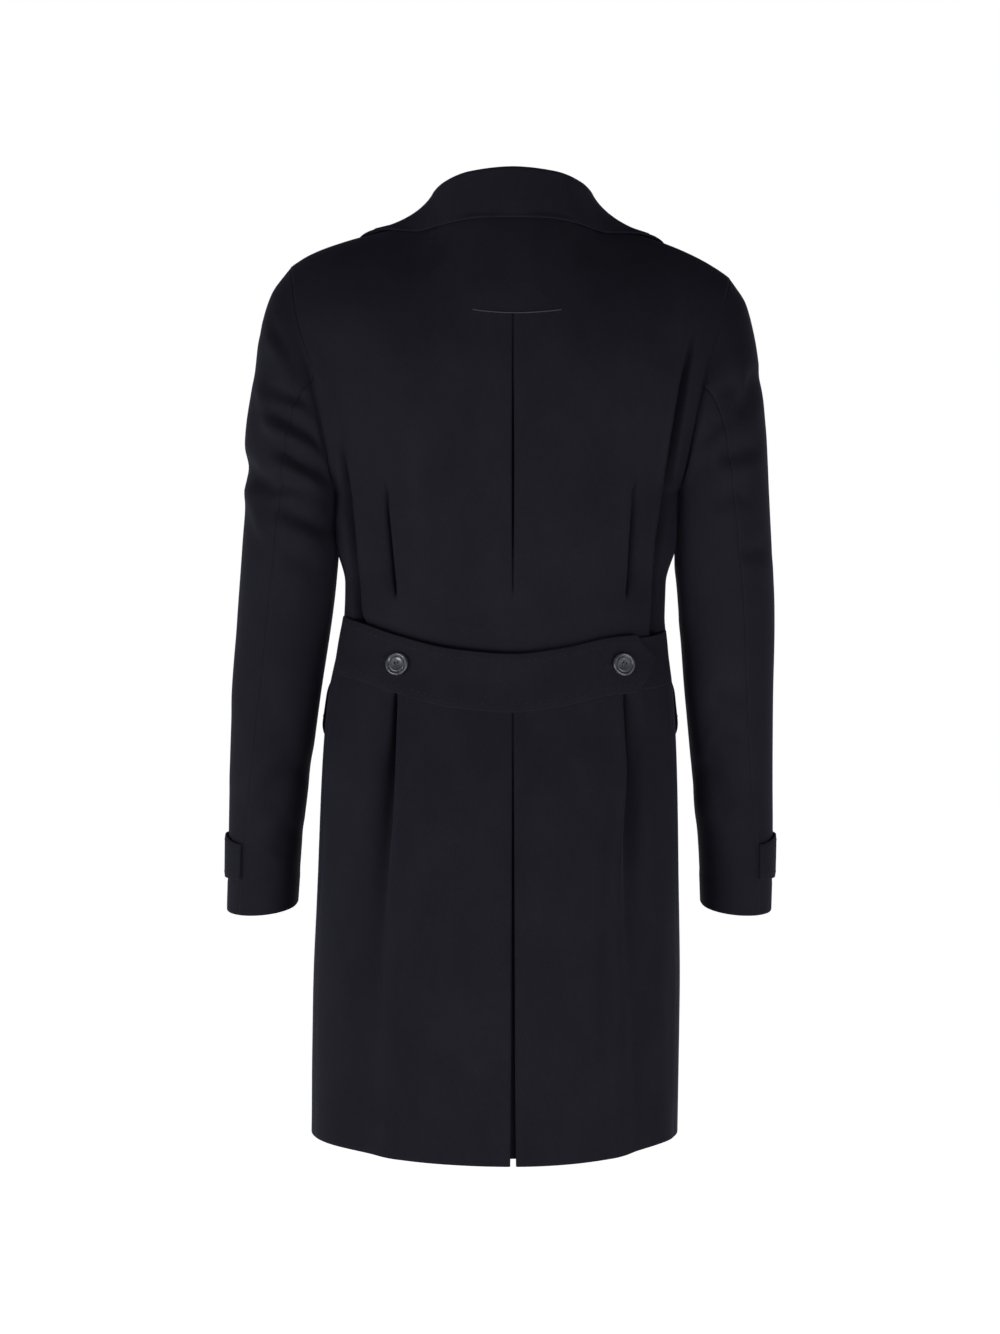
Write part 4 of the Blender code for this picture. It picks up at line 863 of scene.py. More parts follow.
def back_relief(distance, height):
    """How far the back stands out of its bare line: pleats, drapes, the blouse over the belt and the hem."""
    place = BACK.at(distance, height)
    relief = drift(place) + HEM_STAND * (1 - ease(*HEM_STEP, height - HEM))
    for side, name in SIDES:
        past = distance * side - SIDE_PLEAT.at(name, height)
        reach = SIDE_PLEAT.at("reach", height)
        depth = SIDE_PLEAT.at("depth", height)
        drop = SIDE_PLEAT.at("step", height)
        hollow = depth * (1 - ease(drop, drop + reach, past))
        wide = SIDE_PLEAT.at("wide", height)
        cleft = SIDE_PLEAT.at("cleft", height) * bell(np.maximum(past - drop, 0), wide)
        relief -= (hollow + cleft) * ease(0.0, 1.0, past / drop)
        relief += PLEAT_SWELL * depth * bell(past + PLEAT_SWELL_WIDTH, PLEAT_SWELL_WIDTH)
    for path, depth, width, ridge in BACK_FOLDS:
        relief += crease(place[..., 0], place[..., 2], path, depth, width, ridge)
    over = height - BELT.at("height", distance) - BELT_HALF_WIDTH
    inner = 1 - ease(*BLOUSE_SIDES, abs(distance))
    relief += BLOUSE_OVER * bell(over - BLOUSE_HEIGHT, BLOUSE_SPREAD) * inner
    tuck = ease(*TUCK_FROM, distance) * (1 - ease(*TUCK_TO, distance))
    relief -= TUCK_DEPTH * tuck * bell(over - TUCK_ABOVE, TUCK_SPREAD)
    behind = ease(-BELT_HOLD, 0.0, -over) * ease(-BELT_HOLD, 0.0, over + 2 * BELT_HALF_WIDTH)
    relief = blend(relief, np.minimum(relief, 0.0), behind)
    room = BACK.room(distance, height) - abs(distance)
    return relief * ease(*SEAM_FADE, room) + seam_dip(room)


def back_columns(side, height):
    """Distances of the back's columns on one side, from the fold of the centre pleat to the side edge."""
    pleat = float(SIDE_PLEAT.at("left" if side == LEFT else "right", height))
    closing, closed, opening, opened = PLEAT_SEWN
    apart = 1 - ease(closing, closed, height) * (1 - ease(opening, opened, height))
    fold = apart * (CLOTH / 2 + PLEAT_FOLD + float(PLEAT_GAP.at("gap", height)) / 2)
    end = float(BACK.end(side, height)) - SEAM_GAP / 2
    drop = float(SIDE_PLEAT.at("step", height))
    panel = np.linspace(fold, pleat - PANEL_SHORT, 25)
    step = pleat + np.concatenate([np.linspace(-FOLD_LEAD, 0.0, 4)[:-1], np.linspace(0.0, drop, 8)])
    beyond = pleat + drop + COLUMNS_BEYOND
    plain = np.linspace(beyond[-1] + PLAIN_FROM, end, 34)
    return np.concatenate([panel, step, beyond, plain]) * side


print(f"the back has {len(back_columns(LEFT, HEM))} columns of points on each side")

# %% Make the back
FOLD_TURNS = np.radians([20, 45, 70, 90, 110, 135, 160])
FOLD_NUDGE, UNDER_BAR = 0.002, 0.0006
below = np.linspace(HEM, PLEAT_TOP, 196)
above = np.linspace(PLEAT_TOP, BACK_NECK, 32)[1:]
back_heights = np.concatenate([below, above])
bar_row = len(below) - 1


class Points:
    """Points that are gathered row by row and numbered as they come."""

    def __init__(self):
        self.points, self.ways, self.count = [], [], 0

    def add(self, points, ways):
        self.points.append(points)
        self.ways.append(ways)
        self.count += len(points)
        return list(range(self.count - len(points), self.count))

    def all(self):
        return np.concatenate(self.points), np.concatenate(self.ways)


def folded_edge(side, fold, height):
    """One row of a folded edge of the centre pleat: round the fold, then back under the panel."""
    at, level = np.array([fold]), np.array([height])
    point, way = BACK.laid_on(at, height, back_relief(at, level))
    aside = unit(BACK.at(at + side * FOLD_NUDGE, level) - BACK.at(at, level))
    turns = FOLD_TURNS[:, None]
    ways = np.cos(turns) * way - np.sin(turns) * aside
    turned = point - way * PLEAT_FOLD + ways * PLEAT_FOLD
    inside = np.linspace(abs(fold), PLEAT_DEPTH, 6) * side
    off = back_relief(inside, np.full(6, height)) - 2 * PLEAT_FOLD
    flange, flange_way = BACK.laid_on(inside, height, off)
    return np.concatenate([turned, flange]), np.concatenate([ways, -flange_way])


def make_back():
    """The back: two halves, joined along the centre over the bar, with folded edges below it."""
    made, faces, sewn = Points(), [], []
    centre = np.zeros(1)
    middle = [made.add(*BACK.laid_on(centre, h, back_relief(centre, np.array([h])))) for h in above]
    middle.insert(0, made.add(*BACK.laid_on(centre, PLEAT_TOP, 0.0)))
    for side in (LEFT, RIGHT):
        main, folded = [], []
        for row, height in enumerate(back_heights):
            distance = back_columns(side, height)
            relief = back_relief(distance, np.full_like(distance, height))
            main.append(made.add(*BACK.laid_on(distance, height, relief)))
            if row <= bar_row:
                # the folded edge starts a hair under the bar, clear of the whole cloth above
                level = height - (UNDER_BAR if row == bar_row else 0.0)
                folded.append([main[-1][0], *made.add(*folded_edge(side, distance[0], level))])
        sewn += [row[-1] for row in main] + main[-1] + middle[-1]
        strip = [[c[0], m[0]] for c, m in zip(middle, main[bar_row:])]
        for number, turned in ((main, side), (folded, -side), (strip, side)):
            faces.append(grid_faces(number)[:, ::turned])
    is_sewn = np.isin(np.arange(made.count), sewn)
    return wall("back_cloth", *made.all(), np.concatenate(faces), CLOTH, is_sewn)


back = make_back()
dress(back, "back", (0.59, 1.00), 0.525, "hung", ["collar_cloth"])

# %% [markdown]
# ## Behind the centre pleat
# The inverted pleat has an underlay: a straight strip that closes the opening between the two folds. It
# lies just behind them and shows only as a dark line that widens towards the hem.

# %% Make the pleat underlay
UNDERLAY_SHORT, UNDERLAY_PAST = 0.007, 0.014  # how far it ends above the hem, and past the bar
UNDERLAY_DEPTH, UNDERLAY_SEWN, UNDERLAY_CLOSES = 0.0080, 0.0028, 0.010  # at the bar it meets the back
underlay_heights = np.linspace(HEM + UNDERLAY_SHORT, PLEAT_TOP + UNDERLAY_PAST, 170)[:, None]
underlay_distances = np.linspace(-PLEAT_DEPTH, PLEAT_DEPTH, 25)[None, :]
flat_relief = back_relief(*np.broadcast_arrays(underlay_distances, underlay_heights))
behind = blend(UNDERLAY_DEPTH, UNDERLAY_SEWN, ease(PLEAT_TOP, PLEAT_TOP + UNDERLAY_CLOSES, underlay_heights))
underlay = grid_wall(
    "pleat_underlay_cloth", *BACK.laid_on(underlay_distances, underlay_heights, flat_relief - behind), CLOTH
)
dress(underlay, "pleat_underlay", (0.085, 0.88), None, "hung", ["back_cloth"])

# %% [markdown]
# ## The fronts
# Each front runs from its side seam past the centre, so the two lap widely: that is what
# double-breasted means. Below the break the front edge is straight. Above it the cloth turns back as
# the lapel, so the front itself ends at the roll line, which climbs slanting to the neck.

# %% Make the fronts
BREAK, OVERLAP, FRONT_SPREAD, ROLL_PAST_NECK = -0.370, 0.085, 0.0016, 0.006
LAP_FADE = (0.09, 0.17)  # past the lap both fronts lie on the bare face
FRONT_FOLDS = [
    # path of (x, z), depth, width, ridge
    ([(0.205, -0.130), (0.185, -0.200), (0.170, -0.285)], 0.0028, 0.013, 0.4),
    ([(-0.200, -0.130), (-0.178, -0.200), (-0.160, -0.290)], 0.0030, 0.013, 0.4),
    ([(0.150, -0.330), (0.120, -0.380), (0.092, -0.402)], 0.0016, 0.012, 0.5),
    ([(-0.140, -0.330), (-0.105, -0.380), (-0.078, -0.400)], 0.0016, 0.012, 0.5),
    ([(0.030, -0.700), (0.040, -0.820), (0.046, -0.960)], 0.0044, 0.022, 0.5),
    ([(-0.080, -0.700), (-0.086, -0.820), (-0.090, -0.960)], 0.0046, 0.021, 0.5),
    ([(0.140, -0.740), (0.146, -0.850), (0.150, -0.965)], 0.0040, 0.020, 0.5),
]


def roll_distance(side, height):
    """Distance of a front's inner edge: the front edge below the break, the roll line of the lapel above."""
    past_neck = neck_distance("front", side) + ROLL_PAST_NECK
    return blend(-OVERLAP, past_neck, np.clip((height - BREAK) / (FRONT_NECK - BREAK), 0.0, 1.0))


def front_off(side, distance, height):
    """How far a front stands off the bare face: the left laps over the right, and both have soft folds."""
    place = FRONT.at(distance, height)
    off = side * FRONT_SPREAD * (1 - ease(*LAP_FADE, distance * side))
    relief = np.zeros_like(off)
    for path, depth, width, ridge in FRONT_FOLDS:
        relief = relief + crease(place[..., 0], place[..., 2], path, depth, width, ridge)
    room = FRONT.room(distance, height) - abs(distance)
    return off + relief * ease(*SEAM_FADE, room)


def make_front(side, name):
    """One front, from its edge or roll line to the side seam and the armhole."""
    heights = np.concatenate([np.linspace(HEM, BREAK, 130), np.linspace(BREAK, FRONT_NECK, 70)[1:]])
    share = finer_ends(0.03, 4, 62, 5)
    starts = roll_distance(side, heights)[:, None]
    ends = FRONT.end(side, heights)[:, None] - SEAM_GAP / 2
    distance = blend(starts, ends, share[None, :]) * side
    height = np.broadcast_to(heights[:, None], distance.shape)
    off = front_off(side, distance, height) + seam_dip(FRONT.room(distance, height) - abs(distance))
    sheet = FRONT.laid_on(distance, height, off)
    return grid_wall(f"front_{name}_cloth", *sheet, CLOTH, "last_column", "last_row")


for SIDE, NAME in SIDES:
    dress(make_front(SIDE, NAME), f"front_{NAME}", (0.42, 1.00), 0.322, "hung", ["back_cloth"])

# %% [markdown]
# ## The lapels
# A lapel is the top of the front turned back on itself. The turn is not pressed flat: it rolls, and the
# cloth then settles onto the front. So each row of points starts at the front's edge, goes round the
# roll, and lies down towards the outer edge. That edge rises to a tip, runs back to the notch, and
# meets the collar.

# %% Make the lapels
BUTT_GAP, LAPEL_ROLL, LAPEL_GAP = 0.0013, 0.0024, 0.0018
LAPEL_EDGE = [(-0.366, -0.078), (-0.300, 0.052), (-0.225, 0.172), (-0.1925, 0.128), (-0.162, 0.1060)]
LAPEL_BELLY, LAPEL_PUFF, LAPEL_SETTLED = 0.003, 0.0012, 0.8  # the last by share of the width
NUDGE = 0.0015  # a short way aside, to find a direction
# Both ends of a lapel's lowest edge by height: the right lapel ends where the left front laps over it
LAPEL_START = {LEFT: (-0.366, -0.366), RIGHT: (-0.260, -0.306)}
LAPEL_REST = CLOTH / 2 + DOUBLE_CLOTH / 2 + LAPEL_GAP
ROLL_TURNS = np.linspace(0, math.pi, 9)[:, None]


def lapel_rows(side):
    """Points of a lapel, row by row, and the directions out of its upper side."""
    roll_start, edge_start = LAPEL_START[side]
    foot = LAPEL_EDGE[0][0]
    (tip, _), (notch, _), (top, _) = LAPEL_EDGE[2:]
    lower, upper = np.linspace(edge_start, tip, 46), np.linspace(tip, notch, 12)
    across = np.linspace(0, 1, 34)
    rows = []
    for level in np.concatenate([lower, upper[1:], np.linspace(notch, top, 12)[1:]]):
        roll_height = blend(roll_start, top, (level - edge_start) / (top - edge_start))
        roll = float(roll_distance(side, roll_height))
        belly = LAPEL_BELLY * math.sin(math.pi * min(1.0, (level - foot) / (tip - foot)))
        edge = np.interp(level, *np.array(LAPEL_EDGE).T) + belly
        heights, distance = blend(roll_height, level, across), blend(roll, edge, across) * side
        lift = np.maximum(LAPEL_REST, blend(2 * LAPEL_ROLL, LAPEL_REST, ease(0.0, LAPEL_SETTLED, across)))
        lift = lift + LAPEL_PUFF * np.sin(math.pi * across) ** 2
        lying, ways = FRONT.laid_on(distance, heights, front_off(side, distance, heights) + lift)
        first, level_there = distance[:1], heights[:1]
        start, start_way = FRONT.laid_on(first, level_there, front_off(side, first, level_there))
        aside = unit(FRONT.at(first + side * NUDGE, level_there) - FRONT.at(first, level_there))
        turn_ways = -np.cos(ROLL_TURNS) * start_way - np.sin(ROLL_TURNS) * aside
        turn = start - aside * BUTT_GAP + start_way * LAPEL_ROLL + turn_ways * LAPEL_ROLL
        rows.append((np.concatenate([turn, lying[1:]]), np.concatenate([turn_ways, ways[1:]])))
    return np.array([p for p, _ in rows]), np.array([w for _, w in rows])


LAPELS = {side: lapel_rows(side) for side, _ in SIDES}
# flat size and area of what shows of each lapel
LAPEL_CUT = {LEFT: ((0.15, 0.41), 0.0212), RIGHT: ((0.13, 0.28), 0.0153)}
for SIDE, NAME in SIDES:
    lapel = grid_wall(f"lapel_{NAME}_cloth", *LAPELS[SIDE], DOUBLE_CLOTH, "first_column")
    dress(lapel, f"lapel_{NAME}", *LAPEL_CUT[SIDE], "folded", [f"front_{NAME}_cloth"])

# %% [markdown]
# ## The collar
# The collar stands up from the neck seam, rolls over, and falls deeply over the shoulders to cover the
# seam. It is drawn at a few stations from the centre back to the front, each with its seam, roll, and
# edge, and read smoothly between them.

# %% Stations of the collar
COLLAR_ROLL, COLLAR_SEAM = 0.0034, 0.0009
COLLAR_REST = CLOTH / 2 + DOUBLE_CLOTH / 2 + 1.5 * LAPEL_GAP  # how near the fall may come to the body
EDGE_PAST_NECK = {"back": 0.064, "front": 0.068}  # for a station on the shoulder seam
HANDLE_PAST_NECK, HANDLE_LIFT = 0.030, 0.0016
CREST_INSET, STAND_INSET, STAND_LEAST = 0.007, 0.003, 0.004
COLLAR_BACK = [
    # share of the way round the back neck, roll, edge distance and height, how far the fall hollows in
    (0.00, (0.000, 0.055, 0.0345), 0.000, -0.0212, -0.0050),
    (0.40, (0.042, 0.048, 0.0310), 0.062, -0.0260, -0.0040),
    (0.78, (0.069, 0.026, 0.0220), 0.122, -0.0350, 0.0030),
    (1.00, (0.079, 0.000, 0.0140), None, BACK_NECK, 0.0085),
]
COLLAR_FRONT = [
    # stand below the roll, height of the crest, roll height, handle and edge by distance and height
    (0.022, 0.0090, -0.100, None, -0.0980, None, -0.1000),
    (0.013, 0.0055, -0.122, 0.154, -0.1280, 0.190, -0.1350),
    (0.005, 0.0030, -0.150, 0.126, -0.2000, 0.172, -0.1760),
]


def collar_stations(side):
    """Places along the collar from the centre back to the front: seam, roll, handle of the fall and edge."""
    neck_b, neck_f = neck_distance("back", side), neck_distance("front", side)
    seam_line = top_line("back", side)
    made = []
    for share, roll, edge, height, hollow in COLLAR_BACK:
        seam = read(seam_line, lengths(seam_line), share * neck_b)
        edge = neck_b + EDGE_PAST_NECK["back"] if edge is None else edge
        point, way = BACK.laid_on(np.array([edge * side]), np.array([height]), LAPEL_REST)
        crest = np.array([roll[0] * side, *roll[1:]])
        handle = blend(crest, point[0], 0.5) - way[0] * hollow
        made.append((seam + np.array([0.0, 0.0, COLLAR_SEAM]), crest, handle, point[0]))
    for stand, crest_lift, roll_height, handle, handle_height, edge, height in COLLAR_FRONT:
        handle = neck_f + HANDLE_PAST_NECK if handle is None else handle
        edge = neck_f + EDGE_PAST_NECK["front"] if edge is None else edge
        distances = np.array([float(roll_distance(side, roll_height)), handle, edge]) * side
        heights = np.array([roll_height, handle_height, height])
        lift = front_off(side, distances, heights) + LAPEL_REST + np.array([crest_lift, HANDLE_LIFT, 0.0])
        places, ways = FRONT.laid_on(distances, heights, lift)
        here = FRONT.at(distances[:1], heights[:1])
        aside = unit(FRONT.at(distances[:1] - side * NUDGE, heights[:1]) - here)[0]
        crest = places[0] + aside * CREST_INSET
        seam = crest - ways[0] * (STAND_LEAST + stand) + aside * STAND_INSET
        made.append((seam, crest, places[1], places[2]))
    return made


print("the collar is drawn at", 2 * len(collar_stations(LEFT)) - 1, "stations")

# %% [markdown]
# ## Resting the collar
# The fall must rest on the body, so its points are pushed out wherever they would sink into the cloth
# underneath. A search tree of the body's faces finds the cloth that is nearest to each point.

# %% Make the collar
COLLAR_SECTIONS, SECTION_NUDGE = 181, 0.05  # a nudge along the stations, to find their run
REST_FROM = -0.330  # the collar can't reach the body below this height


def body_tree():
    """The upper body's cloth, to rest the collar on."""
    corners, faces, count = [], [], 0
    share = np.linspace(-1, 1, 160)[None, :]
    for face in (BACK, FRONT):
        heights = np.linspace(REST_FROM, NECK_HEIGHT[face.face], 80)[:, None]
        distance = share * np.where(share > 0, face.end(LEFT, heights), face.end(RIGHT, heights))
        height = np.broadcast_to(heights, distance.shape)
        off = 0.0 if face is BACK else front_off(np.sign(distance), distance, height)
        points = face.laid_on(distance, height, off)[0].reshape(-1, 3)
        number = count + np.arange(len(points)).reshape(distance.shape)
        faces += grid_faces(number)[:, :: 1 if face is FRONT else -1].tolist()
        corners.append(points)
        count += len(points)
    return BVHTree.FromPolygons(np.concatenate(corners).tolist(), faces)


def rested(tree, point, off):
    """A point, moved out where it would come closer to the body than it may."""
    near, way, _, _ = tree.find_nearest(Vector(point))
    height = (Vector(point) - near).dot(way)
    return np.array(Vector(point) + way * max(off - height, 0.0))


def collar_section(seam, crest, handle, edge, run):
    """One section through the collar: up the stand, round the roll and down the fall to the edge."""
    rise = unit(crest - seam)
    out = unit(np.cross(rise, run))
    centre = crest + (out - rise) * COLLAR_ROLL
    turns = np.linspace(0, math.pi, 10)[:, None]
    roll = centre + (np.sin(turns) * rise - np.cos(turns) * out) * COLLAR_ROLL
    stand = blend(seam, roll[0], np.linspace(0, 1, 9)[:-1, None])
    first = roll[-1]
    lead = blend(first - rise * np.linalg.norm(handle - first) * 0.5, blend(first, handle, 2 / 3), 0.7)
    fall = curve(first, lead, blend(edge, handle, 2 / 3), edge, 27)[1:]
    return np.concatenate([stand, roll]), fall


def collar_points():
    """The collar's points, section by section from the right front to the left, and the ways out of it."""
    stations = np.array(collar_stations(RIGHT)[:0:-1] + collar_stations(LEFT))
    keys = np.arange(len(stations), dtype=float)
    tree = body_tree()

    def places(at):
        return np.array([[smooth(keys, stations[:, i, k], at) for k in range(3)] for i in range(4)])

    sections = []
    for at in np.linspace(0, len(stations) - 1, COLLAR_SECTIONS):
        before, after = max(at - SECTION_NUDGE, 0.0), min(at + SECTION_NUDGE, keys[-1])
        run = places(after)[1] - places(before)[1]
        stand, fall = collar_section(*places(at), unit(run))
        sections.append(np.concatenate([stand, [rested(tree, point, COLLAR_REST) for point in fall]]))
    points = np.array(sections)
    return points, unit(np.cross(np.gradient(points, axis=1), np.gradient(points, axis=0)))


COLLAR = collar_points()
collar = grid_wall("collar_cloth", *COLLAR, DOUBLE_CLOTH, "first_column")
dress(collar, "collar", (0.66, 0.12), 0.0585, "folded", ["back_cloth"])

# %% [markdown]
# ## The sleeves
# A tailored sleeve has two parts: a wide top sleeve round the outside and a narrower under sleeve,
# joined by a seam behind the arm and one inside it. Both are read from the same bent tube, so they meet
# along their seams. The tube starts at the armhole and hangs forward. Its folds gather behind the upper
# arm and at the elbow.

# %% Sizes of the sleeves
SLEEVE = Table("run outer_x outer_z inner_x inner_z back front lean", [
    (0.00, 0.2320, -0.061, 0.1805, -0.300, 0.072, -0.048, 0.0000),
    (0.05, 0.2505, -0.090, 0.1810, -0.304, 0.076, -0.056, 0.0000),
    (0.11, 0.2602, -0.132, 0.1808, -0.310, 0.078, -0.062, 0.0000),
    (0.18, 0.2665, -0.186, 0.1802, -0.318, 0.078, -0.066, 0.0000),
    (0.26, 0.2725, -0.240, 0.1792, -0.330, 0.077, -0.070, 0.0000),
    (0.34, 0.2750, -0.295, 0.1785, -0.346, 0.074, -0.073, -0.0005),
    (0.43, 0.2785, -0.358, 0.1805, -0.374, 0.070, -0.076, -0.0008),
    (0.52, 0.2825, -0.418, 0.1845, -0.420, 0.064, -0.079, -0.0012),
    (0.61, 0.2850, -0.480, 0.1912, -0.480, 0.055, -0.081, -0.0020),
    (0.70, 0.2868, -0.543, 0.1990, -0.543, 0.045, -0.083, -0.0022),
    (0.80, 0.2887, -0.610, 0.2070, -0.608, 0.033, -0.088, -0.0020),
    (0.90, 0.2902, -0.676, 0.2140, -0.673, 0.021, -0.093, -0.0020),
    (1.00, 0.2905, -0.742, 0.2180, -0.737, 0.010, -0.098, -0.0015),
])
# The sleeves press flat against the sides of the body: the nearest that they come to the middle
SLEEVE_PRESS = Table("height nearest", [
    (-0.430, 0.1745),
    (-0.400, 0.1746),
    (-0.380, 0.1762),
    (-0.360, 0.1780),
    (-0.340, 0.1794),
    (-0.300, 0.1803),
])
CUFF_TILT = 0.007
SLEEVE_TUCK = {LEFT: 0.0030, RIGHT: 0.0060}  # depth of the groove where a sleeve lies against the back
TUCK_PLACE, SLEEVE_LENGTH = 0.005, 0.62  # distance of that groove from the seam
SLEEVE_FLATNESS = 0.70  # below 1, a sleeve is flatter behind and before than an oval
ARM_CLEAR, UNDERARM_CLEAR = -0.0003, 0.0002
SLEEVE_SEAMS = Table("run hind fore", [(0.0, 92, -112), (0.45, 76, -114), (0.75, 70, -116), (1.0, 54, -118)])
SLEEVE_FOLDS = {
    # side, and where it is seen from: path of (x, z), depth, width, ridge
    (LEFT, "back"): [
        ([(0.272, -0.170), (0.2785, -0.238), (0.281, -0.295)], -0.0032, 0.020, 0.0),
        ([(0.256, -0.118), (0.230, -0.150), (0.204, -0.184)], 0.0065, 0.010, 0.4),
        ([(0.260, -0.194), (0.228, -0.204), (0.192, -0.212)], 0.0050, 0.007, 0.6),
        ([(0.262, -0.212), (0.224, -0.234), (0.184, -0.256)], 0.0080, 0.008, 0.6),
        ([(0.252, -0.252), (0.216, -0.273), (0.180, -0.292)], 0.0070, 0.008, 0.6),
        ([(0.290, -0.250), (0.270, -0.284), (0.248, -0.298), (0.206, -0.296)], 0.0075, 0.009, 0.1),
        ([(0.258, -0.310), (0.220, -0.328), (0.178, -0.348)], 0.0060, 0.010, 0.4),
        ([(0.240, -0.364), (0.222, -0.372), (0.200, -0.377)], 0.0025, 0.012, 0.4),
        ([(0.258, -0.118), (0.247, -0.145), (0.238, -0.172)], -0.0030, 0.007, 0.3),
        ([(0.264, -0.180), (0.253, -0.220), (0.240, -0.258)], -0.0035, 0.007, 0.3),
        ([(0.278, -0.286), (0.264, -0.325), (0.250, -0.364)], -0.0040, 0.008, 0.3),
        ([(0.214, -0.572), (0.245, -0.605), (0.272, -0.640)], 0.0050, 0.015, 0.5),
        ([(0.226, -0.644), (0.240, -0.664), (0.254, -0.684)], 0.0030, 0.012, 0.4),
        ([(0.275, -0.430), (0.268, -0.480), (0.262, -0.540)], 0.0020, 0.018, 0.5),
    ],
    (RIGHT, "back"): [
        ([(-0.192, -0.202), (-0.216, -0.197), (-0.240, -0.188)], 0.0060, 0.010, -0.5),
        ([(-0.232, -0.234), (-0.245, -0.205), (-0.256, -0.165)], 0.0055, 0.008, 0.2),
        ([(-0.206, -0.268), (-0.234, -0.262), (-0.262, -0.252)], 0.0055, 0.010, 0.3),
        ([(-0.190, -0.255), (-0.202, -0.240), (-0.214, -0.222)], 0.0040, 0.009, 0.5),
        ([(-0.196, -0.318), (-0.222, -0.306), (-0.250, -0.300)], 0.0030, 0.012, 0.5),
        ([(-0.232, -0.368), (-0.252, -0.363), (-0.272, -0.357)], 0.0035, 0.010, 0.2),
        ([(-0.206, -0.502), (-0.226, -0.510), (-0.248, -0.516)], 0.0045, 0.012, -0.5),
        ([(-0.210, -0.548), (-0.224, -0.554), (-0.240, -0.558)], 0.0035, 0.010, -0.5),
        ([(-0.200, -0.575), (-0.216, -0.612), (-0.236, -0.640)], 0.0050, 0.014, 0.5),
    ],
    (LEFT, "front"): [
        ([(0.196, -0.270), (0.226, -0.300), (0.260, -0.315)], 0.0045, 0.012, -0.5),
        ([(0.196, -0.345), (0.222, -0.372), (0.252, -0.384)], 0.0055, 0.011, -0.5),
        ([(0.200, -0.400), (0.226, -0.420), (0.258, -0.424)], 0.0060, 0.011, -0.5),
        ([(0.206, -0.452), (0.230, -0.462), (0.256, -0.458)], 0.0045, 0.012, -0.5),
        ([(0.222, -0.560), (0.240, -0.585), (0.262, -0.600)], 0.0035, 0.014, 0.5),
    ],
    (RIGHT, "front"): [
        ([(-0.190, -0.255), (-0.218, -0.290), (-0.250, -0.305)], 0.0045, 0.012, 0.5),
        ([(-0.188, -0.350), (-0.212, -0.380), (-0.244, -0.392)], 0.0055, 0.011, 0.5),
        ([(-0.190, -0.408), (-0.216, -0.428), (-0.248, -0.430)], 0.0060, 0.011, 0.5),
        ([(-0.200, -0.470), (-0.222, -0.478), (-0.246, -0.474)], 0.0040, 0.012, 0.5),
        ([(-0.214, -0.580), (-0.232, -0.606), (-0.254, -0.618)], 0.0035, 0.014, -0.5),
    ],
}
print("folds on the sleeves:", sum(len(folds) for folds in SLEEVE_FOLDS.values()))

# %% [markdown]
# ## The form of a sleeve
# A sleeve is a bent tube. A place on it is a run from the armhole to the cuff and an angle round the
# arm. Near the armhole the tube is drawn over to the armhole seam, and against the body it is pressed
# flat.

# %% The form of a sleeve
FACING = (-0.35, 0.30)  # a fold fades where the cloth turns away from the side it is seen from
FOLDS_START, FOLDS_END = (0.02, 0.10), (0.93, 1.0)  # by run
TUCK_FACING, TUCK_HEIGHTS = (0.1, 0.6), (-0.12, -0.20)
# by run: the lower shoulder and the armhole's form fade out, and the tilt of the cuff fades in
SHOULDER_UNTIL, ARMHOLE_UNTIL, TILT_FROM = 0.4, 0.16, 0.55
RUN_NUDGE, ANGLE_NUDGE = 0.004, 0.02  # short ways aside, to find a direction
SEAM_PLANE_UNTIL, SEAM_PLANE_BLEND = 0.012, 0.4
CUFF_CALM = 0.7  # share of the folds that is gone at the cuff


def sleeve_point(side, run, angle):
    """Points of the bare sleeve: run 0 at the armhole and 1 at the cuff, angle 0 on the outer side."""
    run, angle = np.broadcast_arrays(np.asarray(run, float), np.asarray(angle, float))

    def ring(at):
        lower = SHOULDER_TIP[side] - SHOULDER_TIP[LEFT]
        outer_z = SLEEVE.at("outer_z", at) + lower * (1 - ease(0, SHOULDER_UNTIL, at))
        outer = np.stack([SLEEVE.at("outer_x", at), outer_z], axis=-1)
        inner = np.stack([SLEEVE.at("inner_x", at), SLEEVE.at("inner_z", at)], axis=-1)
        place = (outer + inner) / 2 + (outer - inner) / 2 * np.cos(angle)[..., None]
        hind, fore = SLEEVE.at("back", at), SLEEVE.at("front", at)
        bow = np.sign(np.sin(angle)) * abs(np.sin(angle)) ** SLEEVE_FLATNESS
        y = (hind + fore) / 2 + (hind - fore) / 2 * bow
        nearest = np.maximum(place[..., 0], SLEEVE_PRESS.at("nearest", place[..., 1]))
        x = side * nearest + shift(place[..., 1]) + SLEEVE.at("lean", at)
        z = place[..., 1] - CUFF_TILT * ease(TILT_FROM, 1.0, at) * np.sin(angle)
        return np.stack([x, y, z], axis=-1)

    low = (1 - np.cos(angle)) / 2
    clear = blend(ARM_CLEAR, UNDERARM_CLEAR, low)
    seam = armhole(side, angle) + np.stack([side * clear, 0 * low, 0 * low], axis=-1)
    fade = (1 - ease(0.0, ARMHOLE_UNTIL, run))[..., None]
    return ring(run) + (seam - ring(np.zeros_like(run))) * fade


